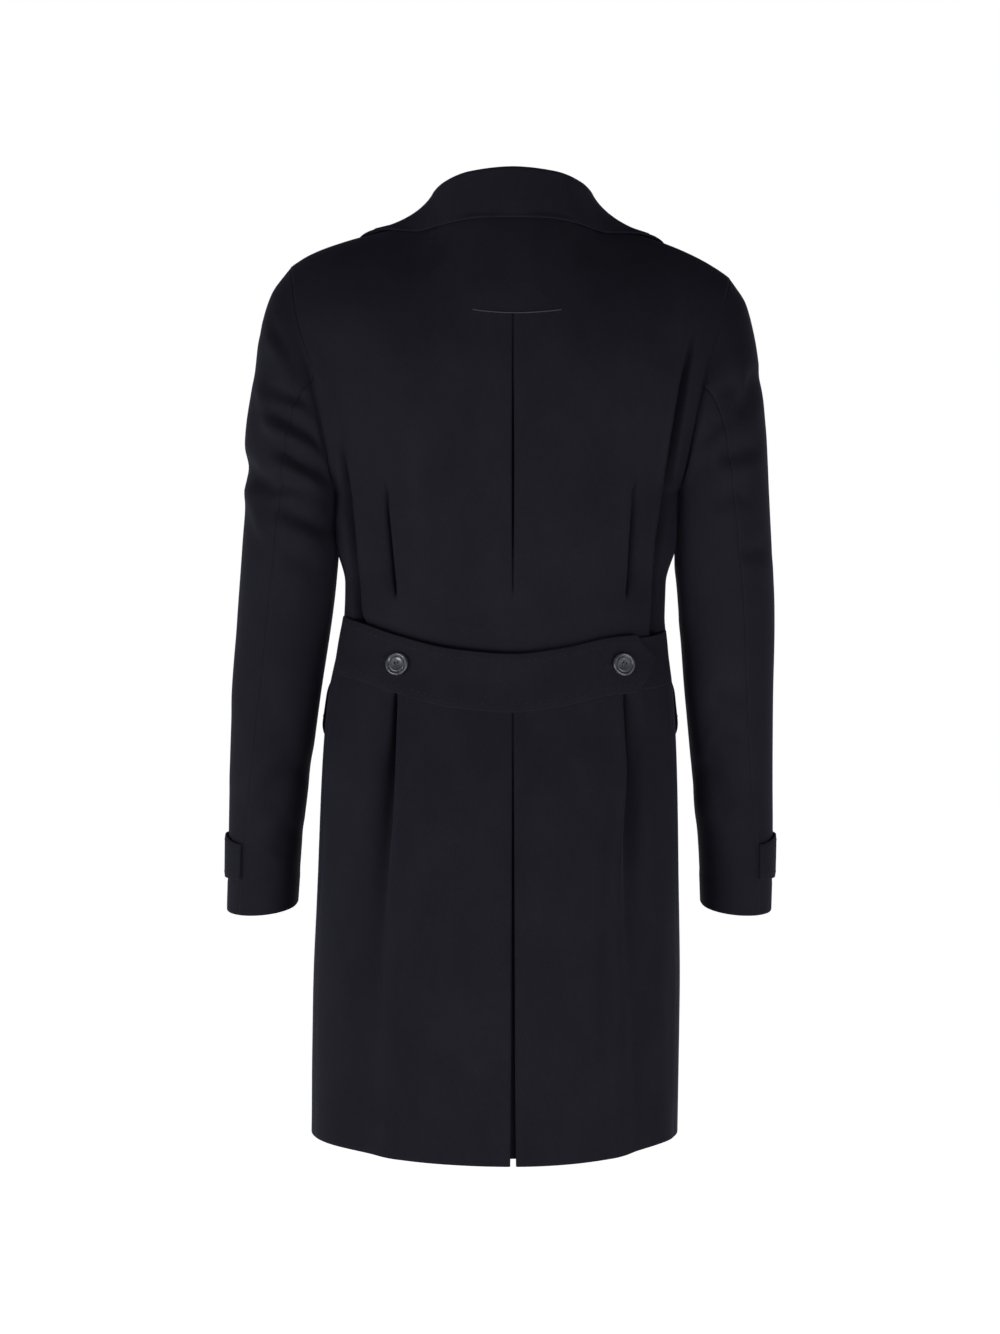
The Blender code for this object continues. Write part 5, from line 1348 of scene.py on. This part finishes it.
def sleeve_way(side, run, angle):
    """Directions straight out of the sleeve. At the armhole they lie in the plane of the seam."""
    run, angle = np.broadcast_arrays(np.asarray(run, float), np.asarray(angle, float))
    low, high = np.maximum(run - RUN_NUDGE, 0.0), np.minimum(run + RUN_NUDGE, 1.0)
    down = sleeve_point(side, high, angle) - sleeve_point(side, low, angle)
    past = sleeve_point(side, run, angle + ANGLE_NUDGE)
    round_it = past - sleeve_point(side, run, angle - ANGLE_NUDGE)
    way = unit(np.cross(down, round_it) * side)
    radial = np.stack([0 * angle, np.sin(angle), np.cos(angle)], axis=-1)
    flat = unit(blend(radial, unit(way * np.array([0.0, 1.0, 1.0]) + 1e-9), SEAM_PLANE_BLEND))
    return unit(blend(flat, way, ease(0.0, SEAM_PLANE_UNTIL, run)[..., None]))


def sleeve_relief(side, run, angle):
    """How far the folds of a sleeve stand off its bare form."""
    points, ways = sleeve_point(side, run, angle), sleeve_way(side, run, angle)
    relief = drift(points)
    for seen_from, turn in (("back", 1), ("front", -1)):
        facing = ease(*FACING, ways[..., 1] * turn)
        for path, depth, width, ridge in SLEEVE_FOLDS[side, seen_from]:
            relief += facing * crease(points[..., 0], points[..., 2], path, depth, width, ridge)
    from_middle = side * (points[..., 0] - shift(points[..., 2]) - SLEEVE.at("lean", run))
    free = np.maximum(from_middle - SLEEVE_PRESS.at("nearest", points[..., 2]), 0.0)
    folds = np.minimum(relief, free) * ease(*FOLDS_START, run) * (1 - CUFF_CALM * ease(*FOLDS_END, run))
    along = run * SLEEVE_LENGTH / TUCK_PLACE
    behind = ease(*TUCK_FACING, ways[..., 1]) * ease(*TUCK_HEIGHTS, points[..., 2])
    return folds - SLEEVE_TUCK[side] * along * np.exp(1 - along) * behind


cuff = sleeve_point(LEFT, 1.0, np.linspace(0, 2 * math.pi, 60))
print(f"a cuff is {lengths(cuff)[-1]:.3f} m round")

# %% Make the sleeves
SLEEVE_RADIUS = 0.045  # roughly, to turn angles into distances from a seam
CUFF_STAND, CUFF_EDGE = 0.0005, (0.945, 0.955)  # the turned-up cuff stands out below this run
SLEEVE_RUNS = np.concatenate([np.linspace(0, 0.06, 14)[:-1], np.linspace(0.06, 1.0, 150)])


def sleeve_piece(side, name, upper):
    """The top sleeve, round the outer side, or the under sleeve, between the same two seams."""
    run = SLEEVE_RUNS[:, None]
    hind, fore = (np.radians(SLEEVE_SEAMS.at(n, run)) for n in ("hind", "fore"))
    first, last = (fore, hind) if upper else (hind, fore + 2 * math.pi)
    share = finer_ends(0.04, 4, 46, 4)
    angle = blend(first, last, share[None, :])
    run = np.broadcast_to(run, angle.shape)
    room = np.minimum(angle - first, last - angle) * SLEEVE_RADIUS
    cuff_band = CUFF_STAND * ease(*CUFF_EDGE, run)
    turned = np.where(angle > math.pi, angle - 2 * math.pi, angle)
    off = sleeve_relief(side, run, turned) + seam_dip(room) + cuff_band
    ways = sleeve_way(side, run, angle)
    points = sleeve_point(side, run, angle) + ways * off[..., None]
    return grid_wall(name, points, ways, CLOTH, "first_row", "first_column", "last_column")


for SIDE, NAME in SIDES:
    body = ["back_cloth", f"front_{NAME}_cloth"]
    top_sleeve = sleeve_piece(SIDE, f"top_sleeve_{NAME}_cloth", True)
    dress(top_sleeve, f"top_sleeve_{NAME}", (0.34, 0.69), 0.126, "hung", body)
    under_sleeve = sleeve_piece(SIDE, f"under_sleeve_{NAME}_cloth", False)
    dress(under_sleeve, f"under_sleeve_{NAME}", (0.24, 0.59), 0.087, "hung", [f"top_sleeve_{NAME}_cloth"])

# %% [markdown]
# ## The cuff straps
# A short strap is caught in the hind seam of each sleeve and runs round the outside to a point, where a
# button holds it. It lies on the sleeve, so it is made from the sleeve's own points, moved out.

# %% Make the cuff straps
STRAP_END, STRAP_POINT = math.radians(-72), math.radians(20)
STRAP_TOP, STRAP_TOP_AT_SEAM, STRAP_BOTTOM = -0.661, -0.670, -0.708
STRAP_RUN, STRAP_SEAM_GAP, STRAP_TAPER = 0.93, 0.004, 0.75
STRAP_PUFF, STRAP_PUFF_EDGE = 0.0005, 0.006  # it is thinner towards its edges
HALVINGS, STRAP_SEARCH_FROM = 30, 0.4


def run_at(side, height, angle):
    """The run along a sleeve where it has a given height, by halving."""
    low, high = np.full(np.shape(height), STRAP_SEARCH_FROM), np.full(np.shape(height), 1.0)
    for _ in range(HALVINGS):
        middle = (low + high) / 2
        higher = sleeve_point(side, middle, angle)[..., 2] > height
        low, high = np.where(higher, middle, low), np.where(higher, high, middle)
    return low


def strap_points(side):
    """A cuff strap, from the hind seam round to its point."""
    seam = math.radians(float(SLEEVE_SEAMS.at("hind", STRAP_RUN))) - STRAP_SEAM_GAP
    angle = np.linspace(seam, STRAP_END, 70)[:, None]
    middle = (STRAP_TOP + STRAP_BOTTOM) / 2
    narrow = ease(0.0, 1.0, (STRAP_END + STRAP_POINT - angle) / STRAP_POINT) * STRAP_TAPER
    top = blend(blend(STRAP_TOP, STRAP_TOP_AT_SEAM, ease(0.0, seam, angle)), middle, narrow)
    bottom = blend(STRAP_BOTTOM, middle, narrow)
    share = np.linspace(0, 1, 26)[None, :]
    height = blend(bottom, top, share)
    angle = np.broadcast_to(angle, height.shape)
    run = run_at(side, height, angle)
    edge = np.minimum(share, 1 - share) * (STRAP_TOP - STRAP_BOTTOM)
    off = CLOTH / 2 + DOUBLE_CLOTH / 2 + LAY_GAP + np.maximum(sleeve_relief(side, run, angle), 0)
    off = off + STRAP_PUFF * ease(0.0, STRAP_PUFF_EDGE, edge)
    ways = sleeve_way(side, run, angle)
    return sleeve_point(side, run, angle) + ways * off[..., None], ways


STRAPS = {side: strap_points(side) for side, _ in SIDES}
for SIDE, NAME in SIDES:
    strap = grid_wall(f"cuff_strap_{NAME}_cloth", *STRAPS[SIDE], DOUBLE_CLOTH, "first_row")
    dress(strap, f"cuff_strap_{NAME}", (0.135, 0.047), 0.0061, "laid", [f"top_sleeve_{NAME}_cloth"])

# %% [markdown]
# ## Pockets and flaps
# The patch pockets are plain pieces with rounded lower corners, sewn onto the fronts, and a flap falls
# over the mouth of each. Both are grids that follow the front. The lower edge is lifted round each
# corner along an arc, and the flap stands off a little towards its edge.

# %% Make the pockets and flaps
POCKET_WIDTH, POCKET_BACK_EDGE, POCKET_CORNER = 0.140, 0.072, 0.030
POCKET_TOP, POCKET_BOTTOM = -0.522, -0.690
FLAP_TOP, FLAP_BOTTOM, FLAP_CORNER, FLAP_STAND_OFF, FLAP_GROW = -0.490, -0.558, 0.018, 0.0014, 0.004
FLAP_OVER = (0.58, 1.00)  # shares of its height: over the pocket up to the first, on the front at the second
POCKET_OFF, FLAP_CLEAR = CLOTH + LAY_GAP, 0.0006
PATCH_PUFF, PATCH_PUFF_EDGE, EVEN_COLUMNS = 0.0006, 0.008, 0.35
FLAP_OFF = 2 * CLOTH + 2 * LAY_GAP + (DOUBLE_CLOTH - CLOTH) / 2 + FLAP_CLEAR
FLAP_SEAM_OFF = CLOTH / 2 + DOUBLE_CLOTH / 2 + LAY_GAP


def rounded_drop(across, corner, width):
    """How far a lower edge rises towards its rounded corners, across from one side to the other."""
    near = np.clip(1 - np.minimum(across, width - across) / corner, 0.0, 1.0)
    return corner * (1 - np.sqrt(1 - near**2))


def patch_points(side, top, bottom, corner, grow, levels, off):
    """A patch on a front, with rounded lower corners. off gives how far it stands off by level."""
    width = POCKET_WIDTH + 2 * grow
    columns = np.linspace(0, 1, 60)[None, :]
    across = width * blend((1 - np.cos(math.pi * columns)) / 2, columns, EVEN_COLUMNS)
    level = np.linspace(0, 1, levels)[:, None]
    heights = blend(bottom + rounded_drop(across, corner, width), top, level)
    distances = (FRONT.end(side, heights) - POCKET_BACK_EDGE + grow - across) * side
    edge = np.minimum(np.minimum(across, width - across), level * (top - bottom))
    puff = PATCH_PUFF * ease(0.0, PATCH_PUFF_EDGE, edge)
    return FRONT.laid_on(distances, heights, front_off(side, distances, heights) + off(level) + puff)


def flap_off(level):
    """A flap is sewn to the bare front along its top, and then hangs over the pocket's mouth."""
    over = 1 - ease(*FLAP_OVER, level)
    return blend(FLAP_SEAM_OFF, FLAP_OFF, over) + FLAP_STAND_OFF * (1 - level) ** 2


PATCHES = {}
for SIDE, NAME in SIDES:
    PATCHES["pocket", SIDE] = patch_points(
        SIDE, POCKET_TOP, POCKET_BOTTOM, POCKET_CORNER, 0.0, 60, lambda level: POCKET_OFF
    )
    PATCHES["flap", SIDE] = patch_points(SIDE, FLAP_TOP, FLAP_BOTTOM, FLAP_CORNER, FLAP_GROW, 36, flap_off)
    pocket = grid_wall(f"pocket_{NAME}_cloth", *PATCHES["pocket", SIDE], CLOTH)
    pocket_size = (POCKET_WIDTH, POCKET_TOP - POCKET_BOTTOM)
    dress(pocket, f"pocket_{NAME}", pocket_size, None, "laid", [f"front_{NAME}_cloth"])
    flap = grid_wall(f"flap_{NAME}_cloth", *PATCHES["flap", SIDE], DOUBLE_CLOTH, "last_row")
    flap_size = (POCKET_WIDTH + 2 * FLAP_GROW, FLAP_TOP - FLAP_BOTTOM)
    dress(flap, f"flap_{NAME}", flap_size, None, "laid", [f"pocket_{NAME}_cloth"])

# %% [markdown]
# ## The half belt
# A long strap starts in the left side seam, crosses the back and buttons over a short one from the
# right. It hangs in a shallow curve, a little away from the back where the cloth bags over it. Its end
# is a blunt point.

# %% Make the half belt
BELT_TIP, BELT_TIP_TAPER, BELT_TIP_ROUND = -0.1515, 0.024, 0.10
UNDER_BELT_END, UNDER_BELT_OFF = -0.092, 0.0032
BELT_SEAM_HEIGHT, BELT_SEAM_GAP, UNDER_BELT_NARROW = -0.455, 0.001, 0.003
BELT_PUFF, BELT_PUFF_EDGE = 0.0005, 0.20
BELT_GAPE, GAPE_MIDDLE, GAPE_SPREAD = 0.0034, 0.05, 0.09  # its top edge stands away from the back


def belt_points():
    """The long strap, from its blunt tip to the left side seam."""
    end = float(BACK.end(LEFT, BELT_SEAM_HEIGHT)) - BELT_SEAM_GAP
    near_tip = BELT_TIP + BELT_TIP_TAPER * np.linspace(0.02, 1, 26) ** 1.5
    distance = np.concatenate([near_tip, np.linspace(near_tip[-1] + 0.0028, end, 128)])[:, None]
    share = np.clip((distance - BELT_TIP) / BELT_TIP_TAPER, 0.0, 1.0)
    taper = np.sqrt((share**2 + 2 * BELT_TIP_ROUND * share) / (1 + 2 * BELT_TIP_ROUND))
    across = np.linspace(-1, 1, 43)[None, :]
    heights = BELT.at("height", distance) + across * BELT_HALF_WIDTH * taper
    gape = BELT_GAPE * bell(distance - GAPE_MIDDLE, GAPE_SPREAD) * ease(-0.2, 1.0, across)
    puff = BELT_PUFF * ease(0.0, BELT_PUFF_EDGE, 1 - abs(across))
    off = BELT.at("off", distance) + gape + puff
    return BACK.laid_on(np.broadcast_to(distance, heights.shape), heights, off)


def under_belt_points():
    """The short strap, from the right side seam to where the long one covers it."""
    end = -float(BACK.end(RIGHT, BELT_SEAM_HEIGHT)) + BELT_SEAM_GAP
    distance = np.linspace(end, UNDER_BELT_END, 60)[:, None]
    across = np.linspace(-1, 1, 33)[None, :] * (BELT_HALF_WIDTH - UNDER_BELT_NARROW)
    heights = BELT.at("height", distance) + across
    return BACK.laid_on(np.broadcast_to(distance, heights.shape), heights, UNDER_BELT_OFF)


BELT_GRID, UNDER_BELT_GRID = belt_points(), under_belt_points()
belt = grid_wall("half_belt_left_cloth", *BELT_GRID, DOUBLE_CLOTH, "last_row")
dress(belt, "half_belt_left", (0.383, 0.062), 0.0218, "hung", ["back_cloth", "half_belt_right_cloth"])
under_belt = grid_wall("half_belt_right_cloth", *UNDER_BELT_GRID, DOUBLE_CLOTH, "first_row")
dress(under_belt, "half_belt_right", (0.092, 0.055), None, "hung", ["back_cloth"])

# %% [markdown]
# ## The buttons
# The buttons are turned from dark horn: a rounded rim, a groove inside it, a dished middle and four
# holes sewn through with silk. Turning is just a profile spun round an axis. The holes are cut with a
# Boolean, and the stitches are short bent tubes from hole to hole. All ten share one mesh, each seated
# on its own cloth.

# %% Make one button
BUTTON_RADIUS, SEAT_GAP = 0.012, 0.0003
HOLE_RADIUS, HOLE_REACH = 0.00085, 0.0017
BUTTON_SEGMENTS = 72
THREAD_RADIUS, THREADS_BESIDE = 0.00026, (-0.00042, 0.0, 0.00042)
THREAD_PATH = [
    # share of the way from hole to hole, height
    (0.0, 0.0012), (0.0, 0.0026), (0.2, 0.0034), (0.5, 0.0036), (0.8, 0.0034), (1.0, 0.0026), (1.0, 0.0012),
]
BUTTON_PROFILE = [
    # radius, height
    (0.0000, 0.0003), (0.0088, 0.0000), (0.0106, 0.0002), (0.0114, 0.0007), (0.0119, 0.0014),
    (0.0120, 0.0021), (0.0119, 0.0029), (0.0115, 0.0036), (0.0109, 0.0041), (0.0102, 0.0042),
    (0.0095, 0.0040), (0.0089, 0.0035), (0.0085, 0.0030), (0.0082, 0.0029), (0.0079, 0.0031),
    (0.0074, 0.0034), (0.0068, 0.0034), (0.0058, 0.0031), (0.0040, 0.0028), (0.0020, 0.0027),
    (0.0000, 0.0027),
]


def turned_mesh(name, profile, segments):
    """A profile spun round the upright axis."""
    shape = bmesh.new()
    line = [shape.verts.new((r, 0.0, h)) for r, h in profile]
    edges = [shape.edges.new(pair) for pair in zip(line[:-1], line[1:])]
    whole = {"axis": (0, 0, 1), "cent": (0, 0, 0), "angle": 2 * math.pi}
    bmesh.ops.spin(shape, geom=line + edges, steps=segments, **whole)
    bmesh.ops.remove_doubles(shape, verts=shape.verts[:], dist=1e-6)
    bmesh.ops.recalc_face_normals(shape, faces=shape.faces[:])
    mesh = bpy.data.meshes.new(name)
    shape.to_mesh(mesh)
    shape.free()
    return mesh


def tube(shape, path, radius, sides, material_index):
    """A closed tube along a short path, added to a bmesh."""
    path = [Vector(p) for p in path]
    rings = []
    for i, place in enumerate(path):
        way = (path[min(i + 1, len(path) - 1)] - path[max(i - 1, 0)]).normalized()
        turn = way.to_track_quat("Z", "Y")
        steps = [2 * math.pi * k / sides for k in range(sides)]
        circle = [Vector((radius * math.cos(t), radius * math.sin(t), 0)) for t in steps]
        rings.append([shape.verts.new(place + turn @ spot) for spot in circle])
    faces = [[low[k], low[(k + 1) % sides], high[(k + 1) % sides], high[k]]
             for low, high in zip(rings[:-1], rings[1:]) for k in range(sides)]
    for corners in [*faces, rings[0][::-1], rings[-1]]:
        shape.faces.new(corners).material_index = material_index


def button_mesh():
    """A turned button with drilled holes and its sewing thread."""
    mesh = turned_mesh("button", BUTTON_PROFILE, BUTTON_SEGMENTS)
    blank = add_object("button_blank", mesh)
    cutter_mesh = bpy.data.meshes.new("button_holes")
    cutter_shape = bmesh.new()
    corners = [(HOLE_REACH * a, HOLE_REACH * b) for a, b in ((1, 1), (-1, 1), (-1, -1), (1, -1))]
    for x, y in corners:
        drill = bmesh.ops.create_cone(
            cutter_shape, cap_ends=True, segments=18, radius1=HOLE_RADIUS, radius2=HOLE_RADIUS, depth=0.02
        )
        bmesh.ops.translate(cutter_shape, verts=drill["verts"], vec=(x, y, 0.0))
    cutter_shape.to_mesh(cutter_mesh)
    cutter_shape.free()
    cutter = add_object("button_holes", cutter_mesh)
    drilled = blank.modifiers.new("holes", "BOOLEAN")
    drilled.object = cutter
    drilled.operation = "DIFFERENCE"
    bpy.context.view_layer.update()
    cut = bpy.data.meshes.new_from_object(blank.evaluated_get(bpy.context.evaluated_depsgraph_get()))
    bpy.data.objects.remove(blank)
    bpy.data.objects.remove(cutter)
    shape = bmesh.new()
    shape.from_mesh(cut)
    for (x, start), (_, end) in ((corners[0], corners[3]), (corners[1], corners[2])):
        for beside in THREADS_BESIDE:
            over = [(x + beside, blend(start, end, share), height) for share, height in THREAD_PATH]
            tube(shape, over, THREAD_RADIUS, 6, 1)
    bmesh.ops.recalc_face_normals(shape, faces=shape.faces[:])
    shape.to_mesh(cut)
    shape.free()
    cut.shade_smooth()
    cut.set_sharp_from_angle(angle=math.radians(38))
    cut.materials.clear()
    cut.materials.append(DARK_HORN)
    cut.materials.append(NAVY_SILK)
    return cut


BUTTON = button_mesh()
print(f"a button: {len(BUTTON.polygons)} faces, {2000 * BUTTON_RADIUS:.0f} mm across")

# %% Sew the buttons on
FRONT_BUTTON_COLUMN, FRONT_BUTTON_ROWS = 0.063, (-0.405, -0.525, -0.645)
BELT_BUTTONS = {LEFT: 0.118, RIGHT: -0.112}
CUFF_BUTTON_ANGLE = math.radians(-52)
SEAT_RIM, SEAT_RAY = 0.9, 0.02  # share of the radius that has to clear the cloth, and where rays start
# degrees; the front buttons turn by the length of their names
BUTTON_TURN = {
    "belt_button_left": 14,
    "belt_button_right": -31,
    "cuff_button_left": 9,
    "cuff_button_right": 40,
}


def cloth_tree(name):
    """The skins of a piece, ready to be met by rays."""
    mesh = bpy.data.objects[name].data
    return BVHTree.FromPolygons([v.co for v in mesh.vertices], [list(p.vertices) for p in mesh.polygons])


def seat(carrier, point, way):
    """A place on a carrier's skin where a button's underside just clears the cloth."""
    tree = cloth_tree(carrier)
    side = unit(np.cross(way, (0.0, 0.0, 1.0)))
    up = np.cross(side, way)
    rises = []
    for turn in np.linspace(0, 2 * math.pi, 12, endpoint=False):
        for radius in (0.0, SEAT_RIM * BUTTON_RADIUS):
            spot = point + (side * math.cos(turn) + up * math.sin(turn)) * radius
            hit = tree.ray_cast(Vector(spot + way * SEAT_RAY), Vector(-way))[0]
            rises.append(np.dot(np.array(hit) - point, way))
    return point + way * (max(rises) + SEAT_GAP)


def sew_button(cad_node, carrier, point, way):
    """Seats a button and turns it about its own axis, because no two are sewn on alike."""
    made = add_object(f"{cad_node}_horn", BUTTON)
    made.location = Vector(seat(carrier, point, way))
    made.rotation_mode = "QUATERNION"
    turn = math.radians(BUTTON_TURN.get(cad_node, 6 * len(cad_node) % 45))
    made.rotation_quaternion = Vector(way).to_track_quat("Z", "Y") @ Quaternion((0.0, 0.0, 1.0), turn)
    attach(made, "root")
    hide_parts(cad_node)


for SIDE, NAME in SIDES:
    spot = np.array([BELT_BUTTONS[SIDE]])
    place, out = BACK.laid_on(spot, BELT.at("height", spot), BELT.at("off", spot))
    sew_button(f"belt_button_{NAME}", "half_belt_left_cloth", place[0], out[0])
    for number, level in enumerate(FRONT_BUTTON_ROWS, 1):
        place, out = FRONT.laid_on(np.array([FRONT_BUTTON_COLUMN * SIDE]), np.array([level]), FRONT_SPREAD)
        sew_button(f"front_button_{NAME}_{number}", "front_left_cloth", place[0], out[0])
    along_sleeve = run_at(SIDE, np.array((STRAP_TOP + STRAP_BOTTOM) / 2), CUFF_BUTTON_ANGLE)
    place, out = (f(SIDE, along_sleeve, CUFF_BUTTON_ANGLE) for f in (sleeve_point, sleeve_way))
    sew_button(f"cuff_button_{NAME}", f"cuff_strap_{NAME}_cloth", place, out)

# %% [markdown]
# ## Stitches
# The edges of the belt, collar, lapels, pockets, flaps and straps are held by small hand stitches near
# the edge, which show as a row of faint dots. Above the centre pleat a corded bar is sewn across, with
# a stitched triangle over it. Every stitch is a tiny bead along a line on the cloth, and one mesh holds
# all the stitches of a piece.

# %% Helpers for stitches
STITCH_LENGTH, STITCH_RADIUS, STITCH_STEP = 0.0022, 0.00034, 0.0075
STITCH_INSET, STITCH_NUDGE = 0.0085, 0.001
# rings of a bead, by shares of half its length and of its radius
BEAD = [(-1.0, 0.25), (-0.55, 0.85), (0.0, 1.0), (0.55, 0.85), (1.0, 0.25)]
BEAD_SIDES, BEAD_LIFT = 6, 0.25


def inset_line(grid, edge, inset, thickness):
    """A line on the outer skin of a grid piece, at a distance inside one of its four edges."""
    points, ways = grid
    if edge in ("first_row", "last_row"):
        points, ways = points.swapaxes(0, 1), ways.swapaxes(0, 1)
    if edge in ("last_row", "last_column"):
        points, ways = points[:, ::-1], ways[:, ::-1]
    line, out = [], []
    for row, row_ways in zip(points, ways):
        along = lengths(row)
        way = unit(read(row_ways, along, inset))
        line.append(read(row, along, inset) + way * thickness / 2)
        out.append(way)
    return np.array(line), np.array(out)


def stitch_beads(line, ways, step, length, radius):
    """Corners and faces of the beads along a line: each a small lens that lies along the line."""
    along = lengths(line)
    starts = np.arange(step / 2, along[-1] - step / 4, step)
    corners, faces = [], []
    for start in starts:
        place, way = read(line, along, start), unit(read(ways, along, start))
        before, after = max(start - STITCH_NUDGE, 0), min(start + STITCH_NUDGE, along[-1])
        ahead = unit(read(line, along, after) - read(line, along, before))
        side = np.cross(way, ahead)
        first = len(corners)
        for share, size in BEAD:
            for turn in np.linspace(0, 2 * math.pi, BEAD_SIDES, endpoint=False):
                round_it = (side * math.cos(turn) + way * math.sin(turn)) * radius * size
                corners.append(place + ahead * share * length / 2 + round_it + way * radius * BEAD_LIFT)
        number = first + np.arange(len(BEAD) * BEAD_SIDES).reshape(-1, BEAD_SIDES)
        ring = np.concatenate([number, number[:, :1]], axis=1)
        faces += grid_faces(ring).tolist()
        faces += [number[0][::-1].tolist(), number[-1].tolist()]
    return corners, faces


def stitching(name, lines, step=STITCH_STEP, length=STITCH_LENGTH, radius=STITCH_RADIUS, material=FINE_SILK):
    """One piece that holds the stitches along some lines."""
    corners, faces = [], []
    for line, ways in lines:
        more, more_faces = stitch_beads(line, ways, step, length, radius)
        faces += [[i + len(corners) for i in face] for face in more_faces]
        corners += more
    mesh = bpy.data.meshes.new(name)
    mesh.from_pydata([tuple(c) for c in corners], [], faces)
    face_out(mesh)
    mesh.shade_smooth()
    mesh.materials.append(material)
    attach(add_object(name, mesh), "root")
    print(f"{name}: {len(faces)} faces")


print(f"a stitch every {1000 * STITCH_STEP:.1f} mm")

# %% Sew the edges
EDGE_INSET, PATCH_INSET = 0.007, 0.006
stitching("half_belt_stitches", [
    inset_line(BELT_GRID, edge, STITCH_INSET, DOUBLE_CLOTH) for edge in ("first_column", "last_column")
])
stitching("collar_stitches", [inset_line(COLLAR, "last_column", EDGE_INSET, DOUBLE_CLOTH)])
for SIDE, NAME in SIDES:
    lapel_line = inset_line(LAPELS[SIDE], "last_column", EDGE_INSET, DOUBLE_CLOTH)
    stitching(f"lapel_{NAME}_stitches", [lapel_line])
    flap_line = inset_line(PATCHES["flap", SIDE], "first_row", EDGE_INSET, DOUBLE_CLOTH)
    stitching(f"flap_{NAME}_stitches", [flap_line])
    stitching(f"pocket_{NAME}_stitches", [
        inset_line(PATCHES["pocket", SIDE], edge, PATCH_INSET, CLOTH)
        for edge in ("first_row", "first_column", "last_column")
    ])
    stitching(f"cuff_strap_{NAME}_stitches", [
        inset_line(STRAPS[SIDE], edge, PATCH_INSET, DOUBLE_CLOTH) for edge in ("first_column", "last_column")
    ])

# %% Sew the bar and the triangle over the centre pleat
BAR_LEFT, BAR_RIGHT, BAR_SAG = 0.041, -0.050, 0.0030
BAR_ABOVE, BAR_OFF = 0.0034, 0.0003
TRIANGLE_TOP, TRIANGLE_FOOT = -0.082, 0.003
BAR_STITCH, TRIANGLE_STITCH = (0.0016, 0.0026, 0.00075), (0.0042, 0.0020, 0.00034)  # step, length, radius


def line_on_back(distances, heights, off):
    """A line on the outer skin of the back."""
    distances, heights = np.asarray(distances, float), np.asarray(heights, float)
    return BACK.laid_on(distances, heights, back_relief(distances, heights) + CLOTH / 2 + off)


bar_distance = np.linspace(BAR_LEFT, BAR_RIGHT, 60)
bar_share = (bar_distance - BAR_RIGHT) / (BAR_LEFT - BAR_RIGHT)
bar_height = PLEAT_TOP + BAR_ABOVE - BAR_SAG * 4 * bar_share * (1 - bar_share)
bar_line = line_on_back(bar_distance, bar_height, BAR_OFF)
stitching("pleat_bar_stitches", [bar_line], *BAR_STITCH, NAVY_SILK)
triangle = []
for corner in (BAR_LEFT, BAR_RIGHT):
    slope = np.linspace(0.0, 1.0, 40)
    heights = blend(TRIANGLE_TOP, PLEAT_TOP + TRIANGLE_FOOT, slope)
    triangle.append(line_on_back(blend(0.0, corner, slope), heights, 0.0))
stitching("pleat_triangle_stitches", triangle, *TRIANGLE_STITCH)

# %% [markdown]
# ## Buttonholes
# Each button passes through a worked buttonhole: a slit edged with close stitches that lean across the
# edge. On the belt the ends of the holes show beside the buttons. A long oval of beads, set side by
# side, makes the edge.

# %% Work the buttonholes
HOLE_LENGTH, HOLE_HALF_WIDTH = 0.027, 0.0014
HOLE_STITCH = (0.0007, 0.0014, 0.00034)  # step, length, radius
BELT_HOLE_FROM, FRONT_HOLE_FROM = -0.25, -0.75  # where a hole starts beside its button, in its lengths
RAY_START = 0.01  # rays that look for the belt start this far off it


def buttonhole(place_at, from_share):
    """An oval line along a slit; place_at gives points and directions at (along, across) from the button."""
    turns = np.linspace(0, 2 * math.pi, 60)
    along = HOLE_LENGTH * (from_share + (1 - np.cos(turns)) / 2)
    across = HOLE_HALF_WIDTH * np.sign(np.sin(turns)) * abs(np.sin(turns)) ** 0.35
    return place_at(along, across)


def belt_place(centre):
    """Places on the outer skin of the long belt beside one of its buttons."""
    tree = cloth_tree("half_belt_left_cloth")

    def place_at(along, across):
        distance = centre + along
        off = BELT.at("off", distance) + RAY_START
        points, ways = BACK.laid_on(distance, BELT.at("height", distance) + across, off)
        hits = [tree.ray_cast(Vector(p), Vector(-w))[0] for p, w in zip(points, ways)]
        return np.array([np.array(h) for h in hits]), ways

    return place_at


def front_place(side, level):
    """Places on the left front beside a button."""
    def place_at(along, across):
        distance = side * FRONT_BUTTON_COLUMN + along
        heights = level + across
        off = front_off(LEFT, distance, heights) + CLOTH / 2
        return FRONT.laid_on(distance, heights, off)

    return place_at


belt_holes = [buttonhole(belt_place(spot), BELT_HOLE_FROM) for spot in BELT_BUTTONS.values()]
stitching("half_belt_buttonholes", belt_holes, *HOLE_STITCH)
front_holes = [buttonhole(front_place(RIGHT, level), FRONT_HOLE_FROM) for level in FRONT_BUTTON_ROWS]
stitching("front_buttonholes", front_holes, *HOLE_STITCH)

# %% [markdown]
# ## Size
# The finished coat is meant to fill the same box as the frame, give or take the nap and the folds. Both
# boxes are printed.

# %% Write the sizes and finish
new_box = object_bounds()
for title, box in (("frame", CAD_BOX), ("coat", new_box)):
    print(title, [round(1000 * (high - low), 1) for low, high in zip(*box)], "mm")
